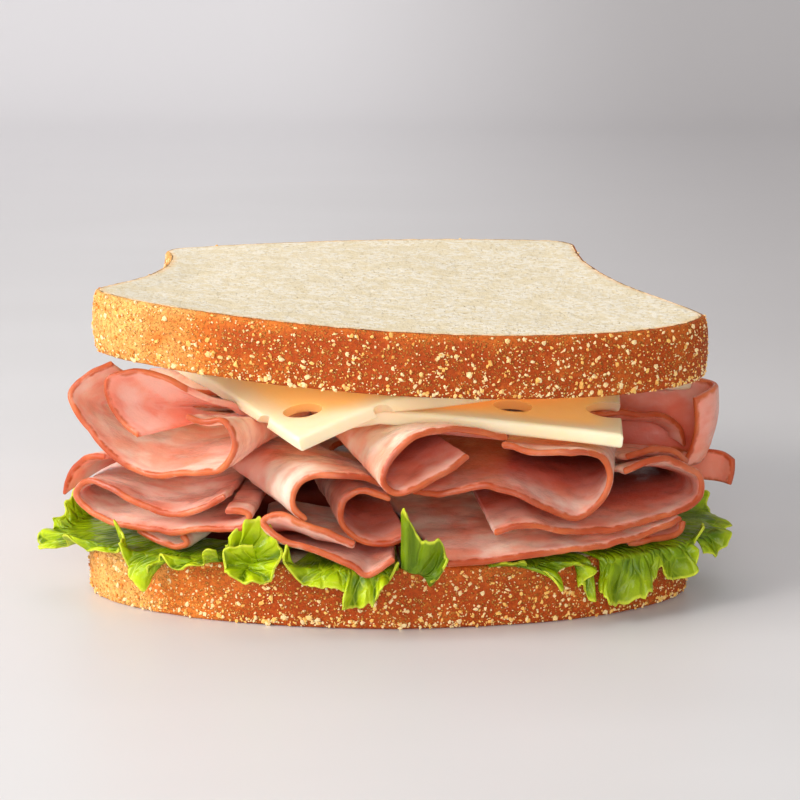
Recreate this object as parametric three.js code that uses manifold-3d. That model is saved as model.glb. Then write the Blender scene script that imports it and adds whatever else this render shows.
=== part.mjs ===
// A ham and cheese sandwich: two slices of crusted white bread, two slices of cheese with holes,
// a pile of folded ham, and green leaf lettuce that hangs over the lower slice.
// Millimetres. The origin is the centre of the lower slice's underside, on the surface it rests on.
// +X is to the right and +Y away from somebody who looks at the crowns of the slices, +Z is up.

import * as THREE from "three";
import { mergeVertices } from "three/addons/utils/BufferGeometryUtils.js";
import Module from "manifold-3d";

const wasm = await Module();
wasm.setup();

// ---------------------------------------------------------------- driving dimensions, in mm
const BREAD = {
  thickness: 14,
  halfWidth: 67.5, // at the widest place of the crown
  crown: 28.5, // how far the crown stands in front of the widest place
  crownPower: 1.08, // 1 would make the crown half an ellipse
  widestAt: -28.3, // y of the widest place
  waist: 49.5, // half the width behind the shoulders
  flare: 2, // how much wider the foot of the loaf is than its waist
  back: 54.5, // y of the corners of the foot
  backBow: 1.8, // how far the far edge stands out between the corners
  cornerRadius: 6,
  crustBulge: 0.9, // how far the crust draws in toward the cut faces
};
const UPPER = {
  underside: 53.1, // z of the upper slice's underside at its front edge
  shift: 2.65, // the upper slice lies a little to the right
  skew: 0.1, // its foot is drawn to the left
  rollSlope: -0.0231, // its left side is higher
  twist: 0.0007,
  backSlope: -0.035, // its foot is lower
  bow: 0.031, // its middle is hollow in front and raised behind
};
const GRITS = { count: 38, largest: 1.25, smallest: 0.85, sunk: 0.15 };
const HAM = { thickness: 1.4, reach: 57, bow: 24 / 68 ** 2, innerEnd: -7 };
const CHEESE = { thickness: 3.2, gap: 0.6 };
const LEAF = { thickness: 0.7, bed: 14.7, inside: 13, clear: 1.9 };
const GAP = 0.3; // air kept between two pieces that touch

// ---------------------------------------------------------------- colours of the pieces
const finish = (color, roughness) => new THREE.MeshStandardMaterial({ color, roughness, metalness: 0 });
const CRUST = finish("#c9823f", 0.85);
const PINK_HAM = finish("#dc8a7c", 0.42);
const PALE_CHEESE = finish("#efdc9c", 0.45);
const GREEN_LEAF = finish("#8fb81f", 0.5);

// ---------------------------------------------------------------- helpers
const mix = THREE.MathUtils.lerp;
const radians = THREE.MathUtils.degToRad;
const smooth = (value, from, to) => THREE.MathUtils.smoothstep(value, from, to);

// A repeatable draw between 0 and 1.
function seededDraw(seed) {
  let state = seed;
  return () => {
    state = (state * 1664525 + 1013904223) % 4294967296;
    return state / 4294967296;
  };
}

function geometryOf(points, faces) {
  const geometry = new THREE.BufferGeometry();
  geometry.setAttribute("position", new THREE.Float32BufferAttribute(points.flat(), 3));
  geometry.setIndex(faces.flat());
  return geometry;
}

// A closed geometry as a solid that can be joined and cut.
function solidOf(geometry) {
  const bare = geometry.clone();
  bare.deleteAttribute("normal");
  bare.deleteAttribute("uv");
  const merged = mergeVertices(bare, 1e-4);
  const vertProperties = new Float32Array(merged.attributes.position.array);
  const triVerts = new Uint32Array(merged.index.array);
  return new wasm.Manifold(new wasm.Mesh({ numProp: 3, vertProperties, triVerts }));
}

function geometryOfSolid(solid) {
  const { numProp, vertProperties, triVerts } = solid.getMesh();
  const geometry = new THREE.BufferGeometry();
  const points = [];
  for (let i = 0; i < vertProperties.length; i += numProp) points.push(...vertProperties.slice(i, i + 3));
  geometry.setAttribute("position", new THREE.Float32BufferAttribute(points, 3));
  geometry.setIndex([...triVerts]);
  return geometry;
}

// The largest single body of a solid: the scraps that a cut leaves are dropped.
function largestBody(solid) {
  return solid.decompose().reduce((best, body) => (body.volume() > best.volume() ? body : best));
}

function named(name, geometry, material) {
  const mesh = new THREE.Mesh(geometry, material);
  mesh.name = name;
  return mesh;
}

// A thin sheet: middle(u, v) gives its middle surface, and both faces stand half the thickness off
// it along its normal. The two faces are split into triangles alike. margin widens it at its edges.
function sheetGeometry({ columns, rows, middle, thickness, margin = 0 }) {
  const step = 1e-3;
  const points = [];
  for (const side of [1, -1]) {
    for (let i = 0; i <= columns; i += 1) {
      for (let j = 0; j <= rows; j += 1) {
        const [u, v] = [i / columns, j / rows];
        const across = middle(Math.min(u + step, 1), v).sub(middle(Math.max(u - step, 0), v)).normalize();
        const along = middle(u, Math.min(v + step, 1)).sub(middle(u, Math.max(v - step, 0))).normalize();
        const normal = across.clone().cross(along).normalize();
        const point = middle(u, v).addScaledVector(normal, (side * thickness) / 2);
        point.addScaledVector(across, margin * ((i === columns) - (i === 0)));
        point.addScaledVector(along, margin * ((j === rows) - (j === 0)));
        points.push(point.toArray());
      }
    }
  }
  const face = (columns + 1) * (rows + 1);
  const at = (i, j) => i * (rows + 1) + j;
  const faces = [];
  const quad = (a, b, c, d) => faces.push([a, b, c], [a, c, d]);
  for (let i = 0; i < columns; i += 1) {
    for (let j = 0; j < rows; j += 1) {
      const [a, b, c, d] = [at(i, j), at(i + 1, j), at(i + 1, j + 1), at(i, j + 1)];
      quad(a, b, c, d);
      faces.push([face + a, face + c, face + b], [face + a, face + d, face + c]);
    }
  }
  const wall = (a, b) => quad(b, a, face + a, face + b);
  for (let i = 0; i < columns; i += 1) {
    wall(at(i, 0), at(i + 1, 0));
    wall(at(i + 1, rows), at(i, rows));
  }
  for (let j = 0; j < rows; j += 1) {
    wall(at(0, j + 1), at(0, j));
    wall(at(columns, j), at(columns, j + 1));
  }
  return geometryOf(points, faces);
}

// ---------------------------------------------------------------- bread
// Half the width of a slice behind its widest place: the shoulders fall to the waist, and the foot
// flares. t runs from 0 at the widest place to 1 at the foot.
function halfWidthBehind(t) {
  const shoulder = Math.exp(-((t / 0.4) ** 1.48));
  return BREAD.waist + (BREAD.halfWidth - BREAD.waist) * shoulder + BREAD.flare * t ** 6;
}

// The outline of a slice, seen from above, counter-clockwise from the middle of the crown.
function sliceOutline() {
  const { halfWidth, crown, crownPower, widestAt, back, cornerRadius, backBow } = BREAD;
  const right = [];
  const crownSteps = 11;
  for (let i = 1; i < crownSteps; i += 1) {
    const turn = (i / crownSteps) * (Math.PI / 2);
    const [x, y] = [Math.sin(turn) ** crownPower, Math.cos(turn) ** crownPower];
    right.push([halfWidth * x, widestAt - crown * y]);
  }
  const sideSteps = 9;
  const sideEnd = back - cornerRadius;
  for (let i = 0; i <= sideSteps; i += 1) {
    const t = i / sideSteps;
    right.push([halfWidthBehind(t), mix(widestAt, sideEnd, t)]);
  }
  const cornerX = halfWidthBehind(1) - cornerRadius;
  for (const turn of [30, 60, 90].map(radians)) {
    right.push([cornerX + cornerRadius * Math.cos(turn), sideEnd + cornerRadius * Math.sin(turn)]);
  }
  right.push([cornerX * 0.5, back + backBow * 0.75]);
  const left = right.map(([x, y]) => [-x, y]).reverse();
  return [[0, widestAt - crown], ...right, [0, back + backBow], ...left];
}
const OUTLINE = sliceOutline();

// The distance from the middle of the slice to its outline, at an angle from +X.
function edgeRadius(angle) {
  const ray = [Math.cos(angle), Math.sin(angle)];
  for (let i = 0; i < OUTLINE.length; i += 1) {
    const [ax, ay] = OUTLINE[i];
    const [bx, by] = OUTLINE[(i + 1) % OUTLINE.length];
    const sideA = ray[0] * ay - ray[1] * ax;
    const sideB = ray[0] * by - ray[1] * bx;
    if (sideA <= 0 && sideB > 0) {
      const share = sideA / (sideA - sideB);
      return Math.hypot(mix(ax, bx, share), mix(ay, by, share));
    }
  }
  throw new Error("the outline does not go round the middle");
}

// A plain slice: rings of the outline from the lower cut face up the crust to the upper one.
// place(x, y, z) bends it.
function sliceGeometry(place) {
  const { thickness, crustBulge } = BREAD;
  const rings = [
    { z: 0, inset: 32 },
    { z: 0, inset: crustBulge },
    { z: 0.1 * thickness, inset: 0.25 * crustBulge },
    { z: 0.5 * thickness, inset: 0 },
    { z: 0.9 * thickness, inset: 0.25 * crustBulge },
    { z: thickness, inset: crustBulge },
    { z: thickness, inset: 32 },
  ];
  const points = [place(0, 0, 0)];
  for (const { z, inset } of rings) {
    for (const [x, y] of OUTLINE) {
      const keep = 1 - inset / Math.hypot(x, y);
      points.push(place(x * keep, y * keep, z));
    }
  }
  points.push(place(0, 0, thickness));
  const count = OUTLINE.length;
  const faces = [];
  for (let i = 0; i < count; i += 1) {
    const next = (i + 1) % count;
    faces.push([0, 1 + next, 1 + i]);
    for (let ring = 0; ring < rings.length - 1; ring += 1) {
      const [low, high] = [1 + ring * count, 1 + (ring + 1) * count];
      faces.push([low + i, low + next, high + next], [low + i, high + next, high + i]);
    }
    const top = 1 + (rings.length - 1) * count;
    faces.push([points.length - 1, top + i, top + next]);
  }
  return geometryOf(points, faces);
}

// One cornmeal grit: a squashed octahedron, turned at random.
function gritGeometry(radius, draw) {
  const grit = new THREE.OctahedronGeometry(radius, 0);
  grit.scale(1.15, 0.85, 0.8);
  grit.rotateX(draw() * Math.PI);
  grit.rotateZ(draw() * Math.PI);
  return grit;
}

// A slice with its largest grits, spread evenly round the crust: steps of the golden ratio give
// each its angle, the largest come first, and most lie in the lower part of the crust.
function gritSlice(place, seed) {
  const draw = seededDraw(seed);
  const golden = 0.618034;
  const grits = [];
  for (let i = 0; i < GRITS.count; i += 1) {
    const angle = ((i * golden) % 1) * 2 * Math.PI;
    const height = BREAD.thickness * (0.16 + 0.66 * draw() ** 1.3);
    const radius = edgeRadius(angle - Math.PI) - GRITS.sunk;
    const [x, y] = [radius * Math.cos(angle - Math.PI), radius * Math.sin(angle - Math.PI)];
    const grit = gritGeometry(mix(GRITS.largest, GRITS.smallest, i / GRITS.count), draw);
    grit.translate(...place(x, y, height));
    grits.push(solidOf(grit));
  }
  return geometryOfSolid(largestBody(wasm.Manifold.union([solidOf(sliceGeometry(place)), ...grits])));
}

// The height of the upper slice's underside above a place on the table.
function undersideAt(x, y) {
  const across = x - UPPER.shift;
  const slopes = UPPER.rollSlope * across + UPPER.twist * across * y + UPPER.backSlope * (y + 56);
  return UPPER.underside + slopes + UPPER.bow * y * (1 - (across / BREAD.halfWidth) ** 2);
}

function upperPlace(x, y, z) {
  const skewed = x + UPPER.shift - UPPER.skew * Math.max(y - BREAD.widestAt, 0);
  return [skewed, y, undersideAt(skewed, y) + z];
}

// ---------------------------------------------------------------- cheese
// How far the upper slice of cheese hangs below the bread at a place (x, y): its front left corner
// drapes down over the ham from a crease at u = foldAt, its front edge hangs a little beyond the
// crease, and its right corner sags past the crust. The drape eases inward, by lift each mm.
const DRAPE = {
  corner: [-18.3, -61.3], turn: radians(28.5), depth: 7.5, foldAt: 22, hem: 0.9, lift: 0.0072, rightDepth: 3,
};
function drapeAt(x, y) {
  const [dx, dy] = [x - DRAPE.corner[0], y - DRAPE.corner[1]];
  const u = dx * Math.cos(DRAPE.turn) + dy * Math.sin(DRAPE.turn);
  const v = dy * Math.cos(DRAPE.turn) - dx * Math.sin(DRAPE.turn);
  const edge = DRAPE.depth * Math.max(1 - u / DRAPE.foldAt, 0) ** 1.1 + DRAPE.hem * (1 - smooth(u, 30, 58));
  const inward = 1 - DRAPE.lift * Math.max(v - 3, 0);
  return edge * inward + DRAPE.rightDepth * smooth(u, 78, 99) * (1 - smooth(v, 4, 40));
}

// A slice of cheese: corner is its front left corner, turn the direction of its front edge, layer
// how many slices lie above it, and sag(u, v) how far it hangs at u mm along and v mm across.
function cheeseMiddle({ corner, turn, width, length, layer, sag }) {
  const along = [Math.cos(turn), Math.sin(turn)];
  const belowBread = CHEESE.gap + CHEESE.thickness / 2 + layer * (CHEESE.thickness + CHEESE.gap);
  return (u, v) => {
    const x = corner[0] + u * width * along[0] - v * length * along[1];
    const y = corner[1] + u * width * along[1] + v * length * along[0];
    const z = undersideAt(x, y) - belowBread - drapeAt(x, y) - sag(u * width, v * length);
    return new THREE.Vector3(x, y, z);
  };
}

const UPPER_CHEESE = {
  corner: DRAPE.corner, turn: DRAPE.turn, width: 99, length: 88, layer: 0, sag: () => 0,
};
const LOWER_CHEESE = {
  corner: [-13, -46.2],
  turn: radians(-3.5),
  width: 63,
  length: 86,
  layer: 1,
  sag: (u, v) => 3.8 * smooth(u, 18, 78) * (1 - smooth(v, 4, 44)),
};
// Each bubble is a ball that the slice was cut through: its place on the slice and its radius.
// The last two of the upper slice nick its edges, and the last of the lower slice opens its right edge.
const UPPER_BUBBLES = [
  { at: [7.4, 13.4], radius: 4.3 }, { at: [-0.9, 18], radius: 2.6 }, { at: [19.5, -0.9], radius: 2.4 },
];
const LOWER_BUBBLES = [{ at: [39.3, 13.6], radius: 4.4 }, { at: [60.4, 18.2], radius: 5.4 }];

function cheeseSlice(name, slice, bubbles) {
  const middle = cheeseMiddle(slice);
  const holes = bubbles.map(({ at, radius }) => {
    const ball = new THREE.IcosahedronGeometry(radius, 1);
    ball.scale(1, 1, 1.6);
    ball.translate(...middle(at[0] / slice.width, at[1] / slice.length).toArray());
    return solidOf(ball);
  });
  return { name, columns: 11, rows: 6, middle, thickness: CHEESE.thickness, holes };
}
const cheeses = [
  cheeseSlice("cheese_upper", UPPER_CHEESE, UPPER_BUBBLES),
  cheeseSlice("cheese_lower", LOWER_CHEESE, LOWER_BUBBLES),
];

// ---------------------------------------------------------------- ham
// A folded slice of ham. rim is the edge that shows: [x, z, recess] along the fold, recess saying
// how far it lies behind the pile's front. From the rim the slice runs inward to y = innerEnd and
// drifts sideways, while its folds press flat into a band round z = band, with pinch of their
// height left. A large give presses them soon behind the rim, and a small one keeps the mouth open.
function hamFold(name, shape) {
  const { rim, drift, band, pinch, columns = 16, rows = 3, give = 2 } = shape;
  const { overhang = 4, innerEnd = HAM.innerEnd } = shape;
  const frontAt = (x) => -HAM.reach - overhang + HAM.bow * x * x;
  const path = rim.map(([x, z, recess = 0]) => new THREE.Vector3(x, frontAt(x) + recess, z));
  const curve = new THREE.CatmullRomCurve3(path, false, "centripetal");
  const heights = rim.map((point) => point[1]);
  const centre = (Math.max(...heights) + Math.min(...heights)) / 2;
  const middle = (u, v) => {
    const edge = curve.getPointAt(u);
    const y = mix(edge.y, innerEnd, v);
    const press = 1 - (1 - v) ** give;
    const pressed = band + (edge.z - centre) * pinch;
    return new THREE.Vector3(edge.x + drift * v, y, mix(edge.z, pressed, press));
  };
  return { name, columns, rows, middle, thickness: HAM.thickness };
}

const frontFolds = [
  hamFold("ham_left_channel", {
    rim: [[-60.5, 53.6, 9.5], [-66.5, 50.6, 3.6], [-69.6, 46.9], [-65, 39.6], [-60.6, 35.5],
      [-52.9, 31.7], [-44.1, 33], [-35.5, 35.2], [-32.4, 41], [-34.5, 46.2], [-39, 45.4],
      [-42.7, 46.2]],
    drift: 16, band: 37.7, pinch: 0.28, columns: 19,
  }),
  hamFold("ham_left_taco", {
    rim: [[-43.5, 49.4, 9], [-48.2, 52.2, 6], [-55.7, 53.7, 3], [-60.9, 52], [-60.8, 46.9],
      [-57.3, 41.9], [-54, 40]],
    drift: 18, band: 42.2, pinch: 0.24, columns: 14, overhang: 2, innerEnd: -30,
  }),
  hamFold("ham_left_roll", {
    rim: [[-34.5, 29.8], [-40.5, 26.4], [-46.5, 24.6], [-52.5, 24.9], [-58.7, 27.5], [-65.5, 28.7],
      [-68.6, 24.8], [-61.9, 20.4], [-52, 19.8], [-40, 21.8], [-31, 23.4], [-29.4, 26.6], [-34.5, 26.6]],
    drift: 3, band: 22.6, pinch: 0.36, columns: 22, overhang: 5,
  }),
  hamFold("ham_left_flap", {
    rim: [[-72.7, 21.8], [-72.1, 24.9], [-70.4, 28.1], [-66.6, 31.8], [-62.5, 32.6]],
    drift: 14, band: 29, pinch: 0.4, columns: 8, overhang: -2, innerEnd: -12,
  }),
  hamFold("ham_low_pleat", {
    rim: [[-54.6, 18.8], [-49.2, 16.9], [-45.6, 16.3], [-43.4, 17.4], [-44.6, 19]],
    drift: 12, band: 17.6, pinch: 0.8, columns: 10, rows: 2, overhang: 3, innerEnd: -22,
  }),
  hamFold("ham_mid_arch", {
    rim: [[2.2, 30.5, 11], [-1.8, 32.1, 7], [-5.8, 34.4, 2.6], [-10.4, 35.6], [-15, 35.2], [-19, 32],
      [-19.8, 28.4], [-17.2, 25.6]],
    drift: -26, band: 30.4, pinch: 0.36, columns: 14, give: 1.5, overhang: 3,
  }),
  hamFold("ham_mid_roll", {
    rim: [[0.5, 29], [-5.3, 30.6], [-9.3, 28.6], [-9.7, 23.6], [-5.7, 19.8], [-0.5, 19], [4.4, 20.6]],
    drift: -9, band: 23.8, pinch: 0.35, give: 1.4, overhang: -1.5,
  }),
  hamFold("ham_front_lip", {
    rim: [[-7, 21.4], [-14.4, 24.4], [-22.6, 27.6], [-26.4, 25.6], [-23, 21.9], [-14, 19.2],
      [-7, 16.2], [-4.4, 14.4], [1.3, 18]],
    drift: 0, band: 17.6, pinch: 0.36, columns: 18, give: 5, overhang: 5.5, innerEnd: -28,
  }),
  hamFold("ham_centre_tube", {
    rim: [[25.4, 41.2, 8], [18.6, 43.4, 6], [11.7, 44.7, 4], [5.4, 43.6, 1.5], [0.6, 39.4],
      [-0.8, 34.6], [1.4, 31.9], [5.3, 32.6], [11, 35.4, 2], [17, 38.6, 5]],
    drift: -19, band: 38.6, pinch: 0.28, columns: 19, overhang: 5,
  }),
  hamFold("ham_right_upper", {
    rim: [[5, 30.2, 7], [11, 31, 3], [19.3, 32.2, 1], [26.3, 30.9], [33.5, 27], [40, 23.9], [45, 26.4],
      [47.4, 31.7], [45.4, 36.8], [40.5, 39], [31.9, 38.9, 2], [24, 39.9, 6]],
    drift: 5, band: 32, pinch: 0.28, columns: 21,
  }),
  hamFold("ham_right_lower", {
    rim: [[50.6, 33, 2], [56, 34.8], [62.2, 33.8], [68.3, 28.7], [68.3, 24], [59.5, 21.4],
      [48.2, 20.5], [37.1, 21.7], [29.2, 23.8], [22.4, 22.6]],
    drift: -6, band: 24.4, pinch: 0.33, columns: 20, overhang: 5,
  }),
  hamFold("ham_front_sheet", {
    rim: [[12.5, 16.6], [22.5, 17], [36.5, 17.4], [50, 17.9], [60.2, 19.2], [64, 20.6]],
    drift: -17, band: 18.4, pinch: 0.3, columns: 10, overhang: 6,
  }),
  hamFold("ham_low_right", {
    rim: [[64.9, 19], [64.3, 16.8], [61, 15.6], [56.5, 15.9], [52, 16.2]],
    drift: -6, band: 16.3, pinch: 0.3, columns: 8, rows: 2, overhang: 3, innerEnd: -20,
  }),
  hamFold("ham_far_arch", {
    rim: [[42, 39.6], [50, 39.9], [57, 38.9], [63, 37.2], [66.6, 33.6], [67.6, 29.4]],
    drift: -3, band: 33.6, pinch: 0.5, columns: 10, rows: 2, overhang: -19, innerEnd: -12,
  }),
  hamFold("ham_right_strip", {
    rim: [[51.4, 35], [57, 35.4], [62.5, 34.2], [66, 31.2]],
    drift: -4, band: 30.4, pinch: 0.25, columns: 8, rows: 2, overhang: 0, innerEnd: -20,
  }),
];

// Two folds at the right stand on edge: path is their line seen from above, and they reach from
// z = top down to z = foot, leaning out to the right by lean.
function standingFold(name, { path, top, foot, lean, columns, rows }) {
  const line = path.map(([x, y, drop = 0]) => new THREE.Vector3(x, y, drop));
  const curve = new THREE.CatmullRomCurve3(line, false, "centripetal");
  const middle = (u, v) => {
    const { x, y, z: drop } = curve.getPointAt(u);
    return new THREE.Vector3(x + lean * v * (1 - v) - 3 * lean * v * v * 0.25, y, mix(top - drop, foot, v));
  };
  return { name, columns, rows, middle, thickness: HAM.thickness };
}
const standingFolds = [
  standingFold("ham_right_flap", {
    path: [[43, -3, 4.5], [51, -6, 2.5], [58, -8.5, 0.6], [66, -10.5], [71.5, -14], [73.2, -18.4],
      [71.4, -22.8, 0.5], [68, -25.2, 1.6]],
    top: 45.2, foot: 27.6, lean: 3.6, columns: 11, rows: 3,
  }),
  standingFold("ham_right_tip", {
    path: [[66, -12.4, 0.6], [71, -13.6], [76, -15.6], [78.2, -18.4, 1.2]],
    top: 28.6, foot: 21.4, lean: 0.8, columns: 7, rows: 2,
  }),
];

// Behind the shoulders the pile is finished with wedge-shaped folds round the middle, in three
// layers. Each is a flattened loop, open at one side, and narrows inward.
const REAR = { from: -8, to: 188, innerRadius: 17, loops: 5, layers: [20.6, 28.8, 36.8] };

function rearFold(name, { angle, halfWidth, base, height, mirrored, draw }) {
  const opening = 0.6 + 0.2 * draw();
  const tilt = 2.4 * (draw() - 0.5);
  const overhang = 1 + 4.5 * draw();
  const middle = (u, v) => {
    const turn = mix(opening, 2 * Math.PI - 0.7 * opening, u);
    const across = Math.sign(Math.cos(turn)) * Math.abs(Math.cos(turn)) ** 0.8;
    const rise = Math.sign(Math.sin(turn)) * Math.abs(Math.sin(turn)) ** 0.9;
    const side = mirrored ? -across : across;
    const swing = (halfWidth * side) / 57;
    const outer = edgeRadius(angle + swing) + overhang;
    const radius = mix(outer, REAR.innerRadius, v);
    const press = mix(1, 0.85, v);
    const wave = 0.9 * Math.sin(5 * side + angle * 3) * (1 - v);
    const z = base + tilt * side * (1 - v) + wave + rise * height * press;
    const direction = angle + swing * mix(1, 0.96, v);
    return new THREE.Vector3(radius * Math.cos(direction), radius * Math.sin(direction), z);
  };
  const flipped = mirrored ? (u, v) => middle(1 - u, v) : middle;
  return { name, columns: 9, rows: 2, middle: flipped, thickness: HAM.thickness };
}

function rearFolds() {
  const draw = seededDraw(11);
  const folds = [];
  REAR.layers.forEach((base, layer) => {
    for (let i = 0; i < REAR.loops; i += 1) {
      const width = (REAR.to - REAR.from) / REAR.loops;
      const angle = radians(REAR.from + (i + 0.5) * width + (layer - 1) * 1.5);
      const halfWidth = radians(width / 2 - 2.5) * 57;
      const height = 2.5;
      const mirrored = (i + layer) % 2 === 1;
      const fold = { angle, halfWidth, base, height, mirrored, draw };
      folds.push(rearFold(`ham_rear_${layer + 1}_${i + 1}`, fold));
    }
  });
  return folds;
}

// ---------------------------------------------------------------- lettuce
// A leaf lies on the lower slice with its stalk side inward, and its frilled edge hangs over the
// crust. frill lists that edge: [angle in degrees from +X, reach beyond the crust, z]. Where the
// frill doubles back the leaf is pleated. waves is the number of small ruffles along it, and dip
// how far the leaf hangs before its edge turns up again.
function leafMiddle({ frill, waves, ruffle = 0.6, dip = 0 }) {
  const edge = frill.map(([degrees, reach, z]) => new THREE.Vector3(degrees, reach, z));
  const curve = new THREE.CatmullRomCurve3(edge, false, "centripetal");
  const [first, last] = [frill[0][0], frill[frill.length - 1][0]];
  const hem = 0.42;
  return (u, v) => {
    const { x: degrees, y: reach, z: height } = curve.getPointAt(u);
    const inner = Math.max(1 - v / hem, 0);
    const outer = Math.max((v - hem) / (1 - hem), 0);
    const angle = radians(mix(mix(first, last, u), degrees, smooth(v, 0.55, 1)));
    const crust = edgeRadius(angle);
    const swing = Math.sin(waves * 2 * Math.PI * u) * ruffle * outer ** 1.5;
    const out = smooth(outer, 0, 0.3) * LEAF.clear + Math.max(reach - LEAF.clear, 0) * outer;
    const radius = crust - inner * LEAF.inside + out + swing;
    const drop = (height - LEAF.bed) * outer ** 2 - dip * Math.sin(Math.PI * smooth(outer, 0.15, 1));
    return new THREE.Vector3(radius * Math.cos(angle), radius * Math.sin(angle), LEAF.bed + drop);
  };
}

function leaf(name, shape) {
  const { columns, rows = 4 } = shape;
  return { name, columns, rows, middle: leafMiddle(shape), thickness: LEAF.thickness };
}

const leaves = [
  leaf("lettuce_left", {
    frill: [[-162, 2, 23], [-160.3, 6, 20.5], [-159.3, 8, 16.5], [-159.5, 12, 12], [-156.5, 10, 10.5],
      [-153.5, 7, 12.5], [-150.7, 7, 15.8], [-147.5, 5.5, 13.3], [-144.5, 5, 13.5], [-142, 3.5, 14.8]],
    waves: 3, columns: 15,
  }),
  leaf("lettuce_fold", {
    frill: [[-142.3, 3.5, 20.8], [-139.5, 6, 17.8], [-139, 6, 11], [-136.1, 5.5, 7.2], [-136, 4.5, 10],
      [-133.3, 4, 15.3], [-130.9, 5, 13.1], [-127, 5, 13.8], [-125.3, 5, 17.4], [-123.5, 4, 17.8]],
    waves: 2, columns: 18,
  }),
  leaf("lettuce_cluster", {
    frill: [[-122.5, 3, 18.6], [-118.8, 3.6, 23.2], [-116.3, 4.2, 26.5], [-114.4, 4.4, 25.2],
      [-111.6, 4.4, 20.8], [-110.4, 6.5, 17.4], [-112.6, 8, 13], [-117.3, 8.6, 13], [-119.8, 8.6, 15],
      [-120.2, 7.8, 18.6], [-117.6, 7.2, 20.2], [-115.6, 6.6, 20.8]],
    waves: 2, columns: 17,
  }),
  leaf("lettuce_front", {
    frill: [[-109.7, 4, 20.9], [-109.8, 6, 17.1], [-107.9, 5.5, 13.3], [-104.7, 5.5, 11.6],
      [-99.7, 5.5, 10.7], [-97.9, 5.5, 10.8], [-98.2, 6.5, 7.6], [-95, 6.5, 6.8], [-92.2, 5.5, 9.5],
      [-90, 5, 12.6], [-87.9, 4.5, 16.8]],
    waves: 4, columns: 16,
  }),
  leaf("lettuce_curl", {
    frill: [[-87.3, 6.5, 29.2], [-85.8, 6.5, 25.6], [-83, 6.5, 22.9], [-80.1, 6.5, 22], [-78.9, 7.2, 18],
      [-80.2, 7, 14.8], [-82, 6.5, 12.6]],
    waves: 1, dip: 2.4, columns: 12,
  }),
  leaf("lettuce_right", {
    frill: [[-69.4, 2.5, 15.4], [-62.5, 3.5, 15.2], [-59.4, 4.5, 12.4], [-57.5, 5, 9], [-55.8, 3.5, 13],
      [-53.6, 4.5, 13.9], [-50, 4.5, 13.2], [-52.8, 4.5, 9.8], [-50, 4.5, 5.3]],
    waves: 3, columns: 16,
  }),
  leaf("lettuce_right_front", {
    frill: [[-48.4, 3.5, 10.2], [-49.3, 6, 4.9], [-46.5, 6, 4.4], [-43.7, 6, 3.2], [-40.6, 5.5, 5.6],
      [-38.3, 4.5, 10.3], [-36.8, 6, 7.6], [-33.2, 6.5, 7.7], [-31.5, 6.5, 13], [-28.1, 5, 18.1]],
    waves: 3, columns: 16,
  }),
  leaf("lettuce_right_back", {
    frill: [[-27.6, 4, 10], [-25.4, 6.5, 9.8], [-22.5, 9, 13.5], [-19.5, 9.6, 12.5], [-16, 13.4, 11.8],
      [-13.5, 12.8, 14.2], [-10.8, 12.2, 14.6], [-8.6, 12, 17.6], [-8.4, 9.5, 19.8], [-5.5, 5.5, 19.5]],
    waves: 2, columns: 16,
  }),
  leaf("lettuce_rear_right", {
    frill: [[-2, 5, 13], [8, 6, 9], [20, 5.5, 12.5], [33, 6, 8], [46, 6, 12], [58, 6, 7], [70, 5.5, 11],
      [82, 6, 9]],
    waves: 6, ruffle: 1.8, columns: 15,
  }),
  leaf("lettuce_rear_left", {
    frill: [[90, 5.5, 10], [104, 6, 7.5], [117, 5.5, 12], [130, 6, 8], [145, 6, 12.5], [158, 6, 8],
      [170, 5.5, 12], [186, 5, 14]],
    waves: 6, ruffle: 1.8, columns: 15,
  }),
];

// ---------------------------------------------------------------- where pieces press on each other
// Each named piece gives way where the pieces listed with it lie against it.
const GIVES_WAY_TO = {
  ham_left_channel: ["cheese_upper"],
  ham_left_taco: ["cheese_upper"],
  ham_low_pleat: ["ham_left_roll"],
  ham_mid_arch: ["ham_front_lip"],
  ham_mid_roll: ["ham_front_lip", "ham_mid_arch"],
  ham_centre_tube: ["cheese_lower", "ham_left_channel"],
  ham_right_lower: ["ham_right_upper"],
  ham_right_strip: ["ham_right_upper"],
  ham_right_tip: ["ham_right_lower"],
  ham_right_flap: ["ham_far_arch", "cheese_upper", "cheese_lower", "ham_right_upper", "ham_rear_3_1",
    "ham_right_lower", "ham_right_tip", "ham_rear_2_1"],
  ham_right_upper: ["cheese_lower"],
  ham_far_arch: ["cheese_lower"],
  ham_rear_1_1: ["ham_right_lower"],
  lettuce_left: ["ham_left_roll"],
  lettuce_fold: ["lettuce_left"],
  lettuce_cluster: ["ham_left_roll", "ham_front_lip"],
  lettuce_front: ["ham_front_lip", "lettuce_cluster"],
  lettuce_curl: ["ham_front_sheet", "lettuce_front"],
  lettuce_right_front: ["ham_low_right"],
  lettuce_right_back: ["ham_right_lower", "ham_right_tip"],
};

const sheets = new Map();
for (const sheet of [...cheeses, ...frontFolds, ...standingFolds, ...rearFolds(), ...leaves]) {
  sheets.set(sheet.name, sheet);
}

// A sheet with its holes cut, and with room for the pieces that it gives way to.
function fittedGeometry(sheet) {
  const rivals = (GIVES_WAY_TO[sheet.name] ?? []).map((rival) => {
    const shape = sheets.get(rival);
    return solidOf(sheetGeometry({ ...shape, thickness: shape.thickness + 2 * GAP, margin: GAP }));
  });
  const cuts = [...(sheet.holes ?? []), ...rivals];
  if (cuts.length === 0) return sheetGeometry(sheet);
  const solid = cuts.reduce((rest, cut) => rest.subtract(cut), solidOf(sheetGeometry(sheet)));
  return geometryOfSolid(largestBody(solid));
}

function groupOf(members, material) {
  const group = new THREE.Group();
  for (const sheet of members) group.add(named(sheet.name, fittedGeometry(sheet), material));
  return group;
}

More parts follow.
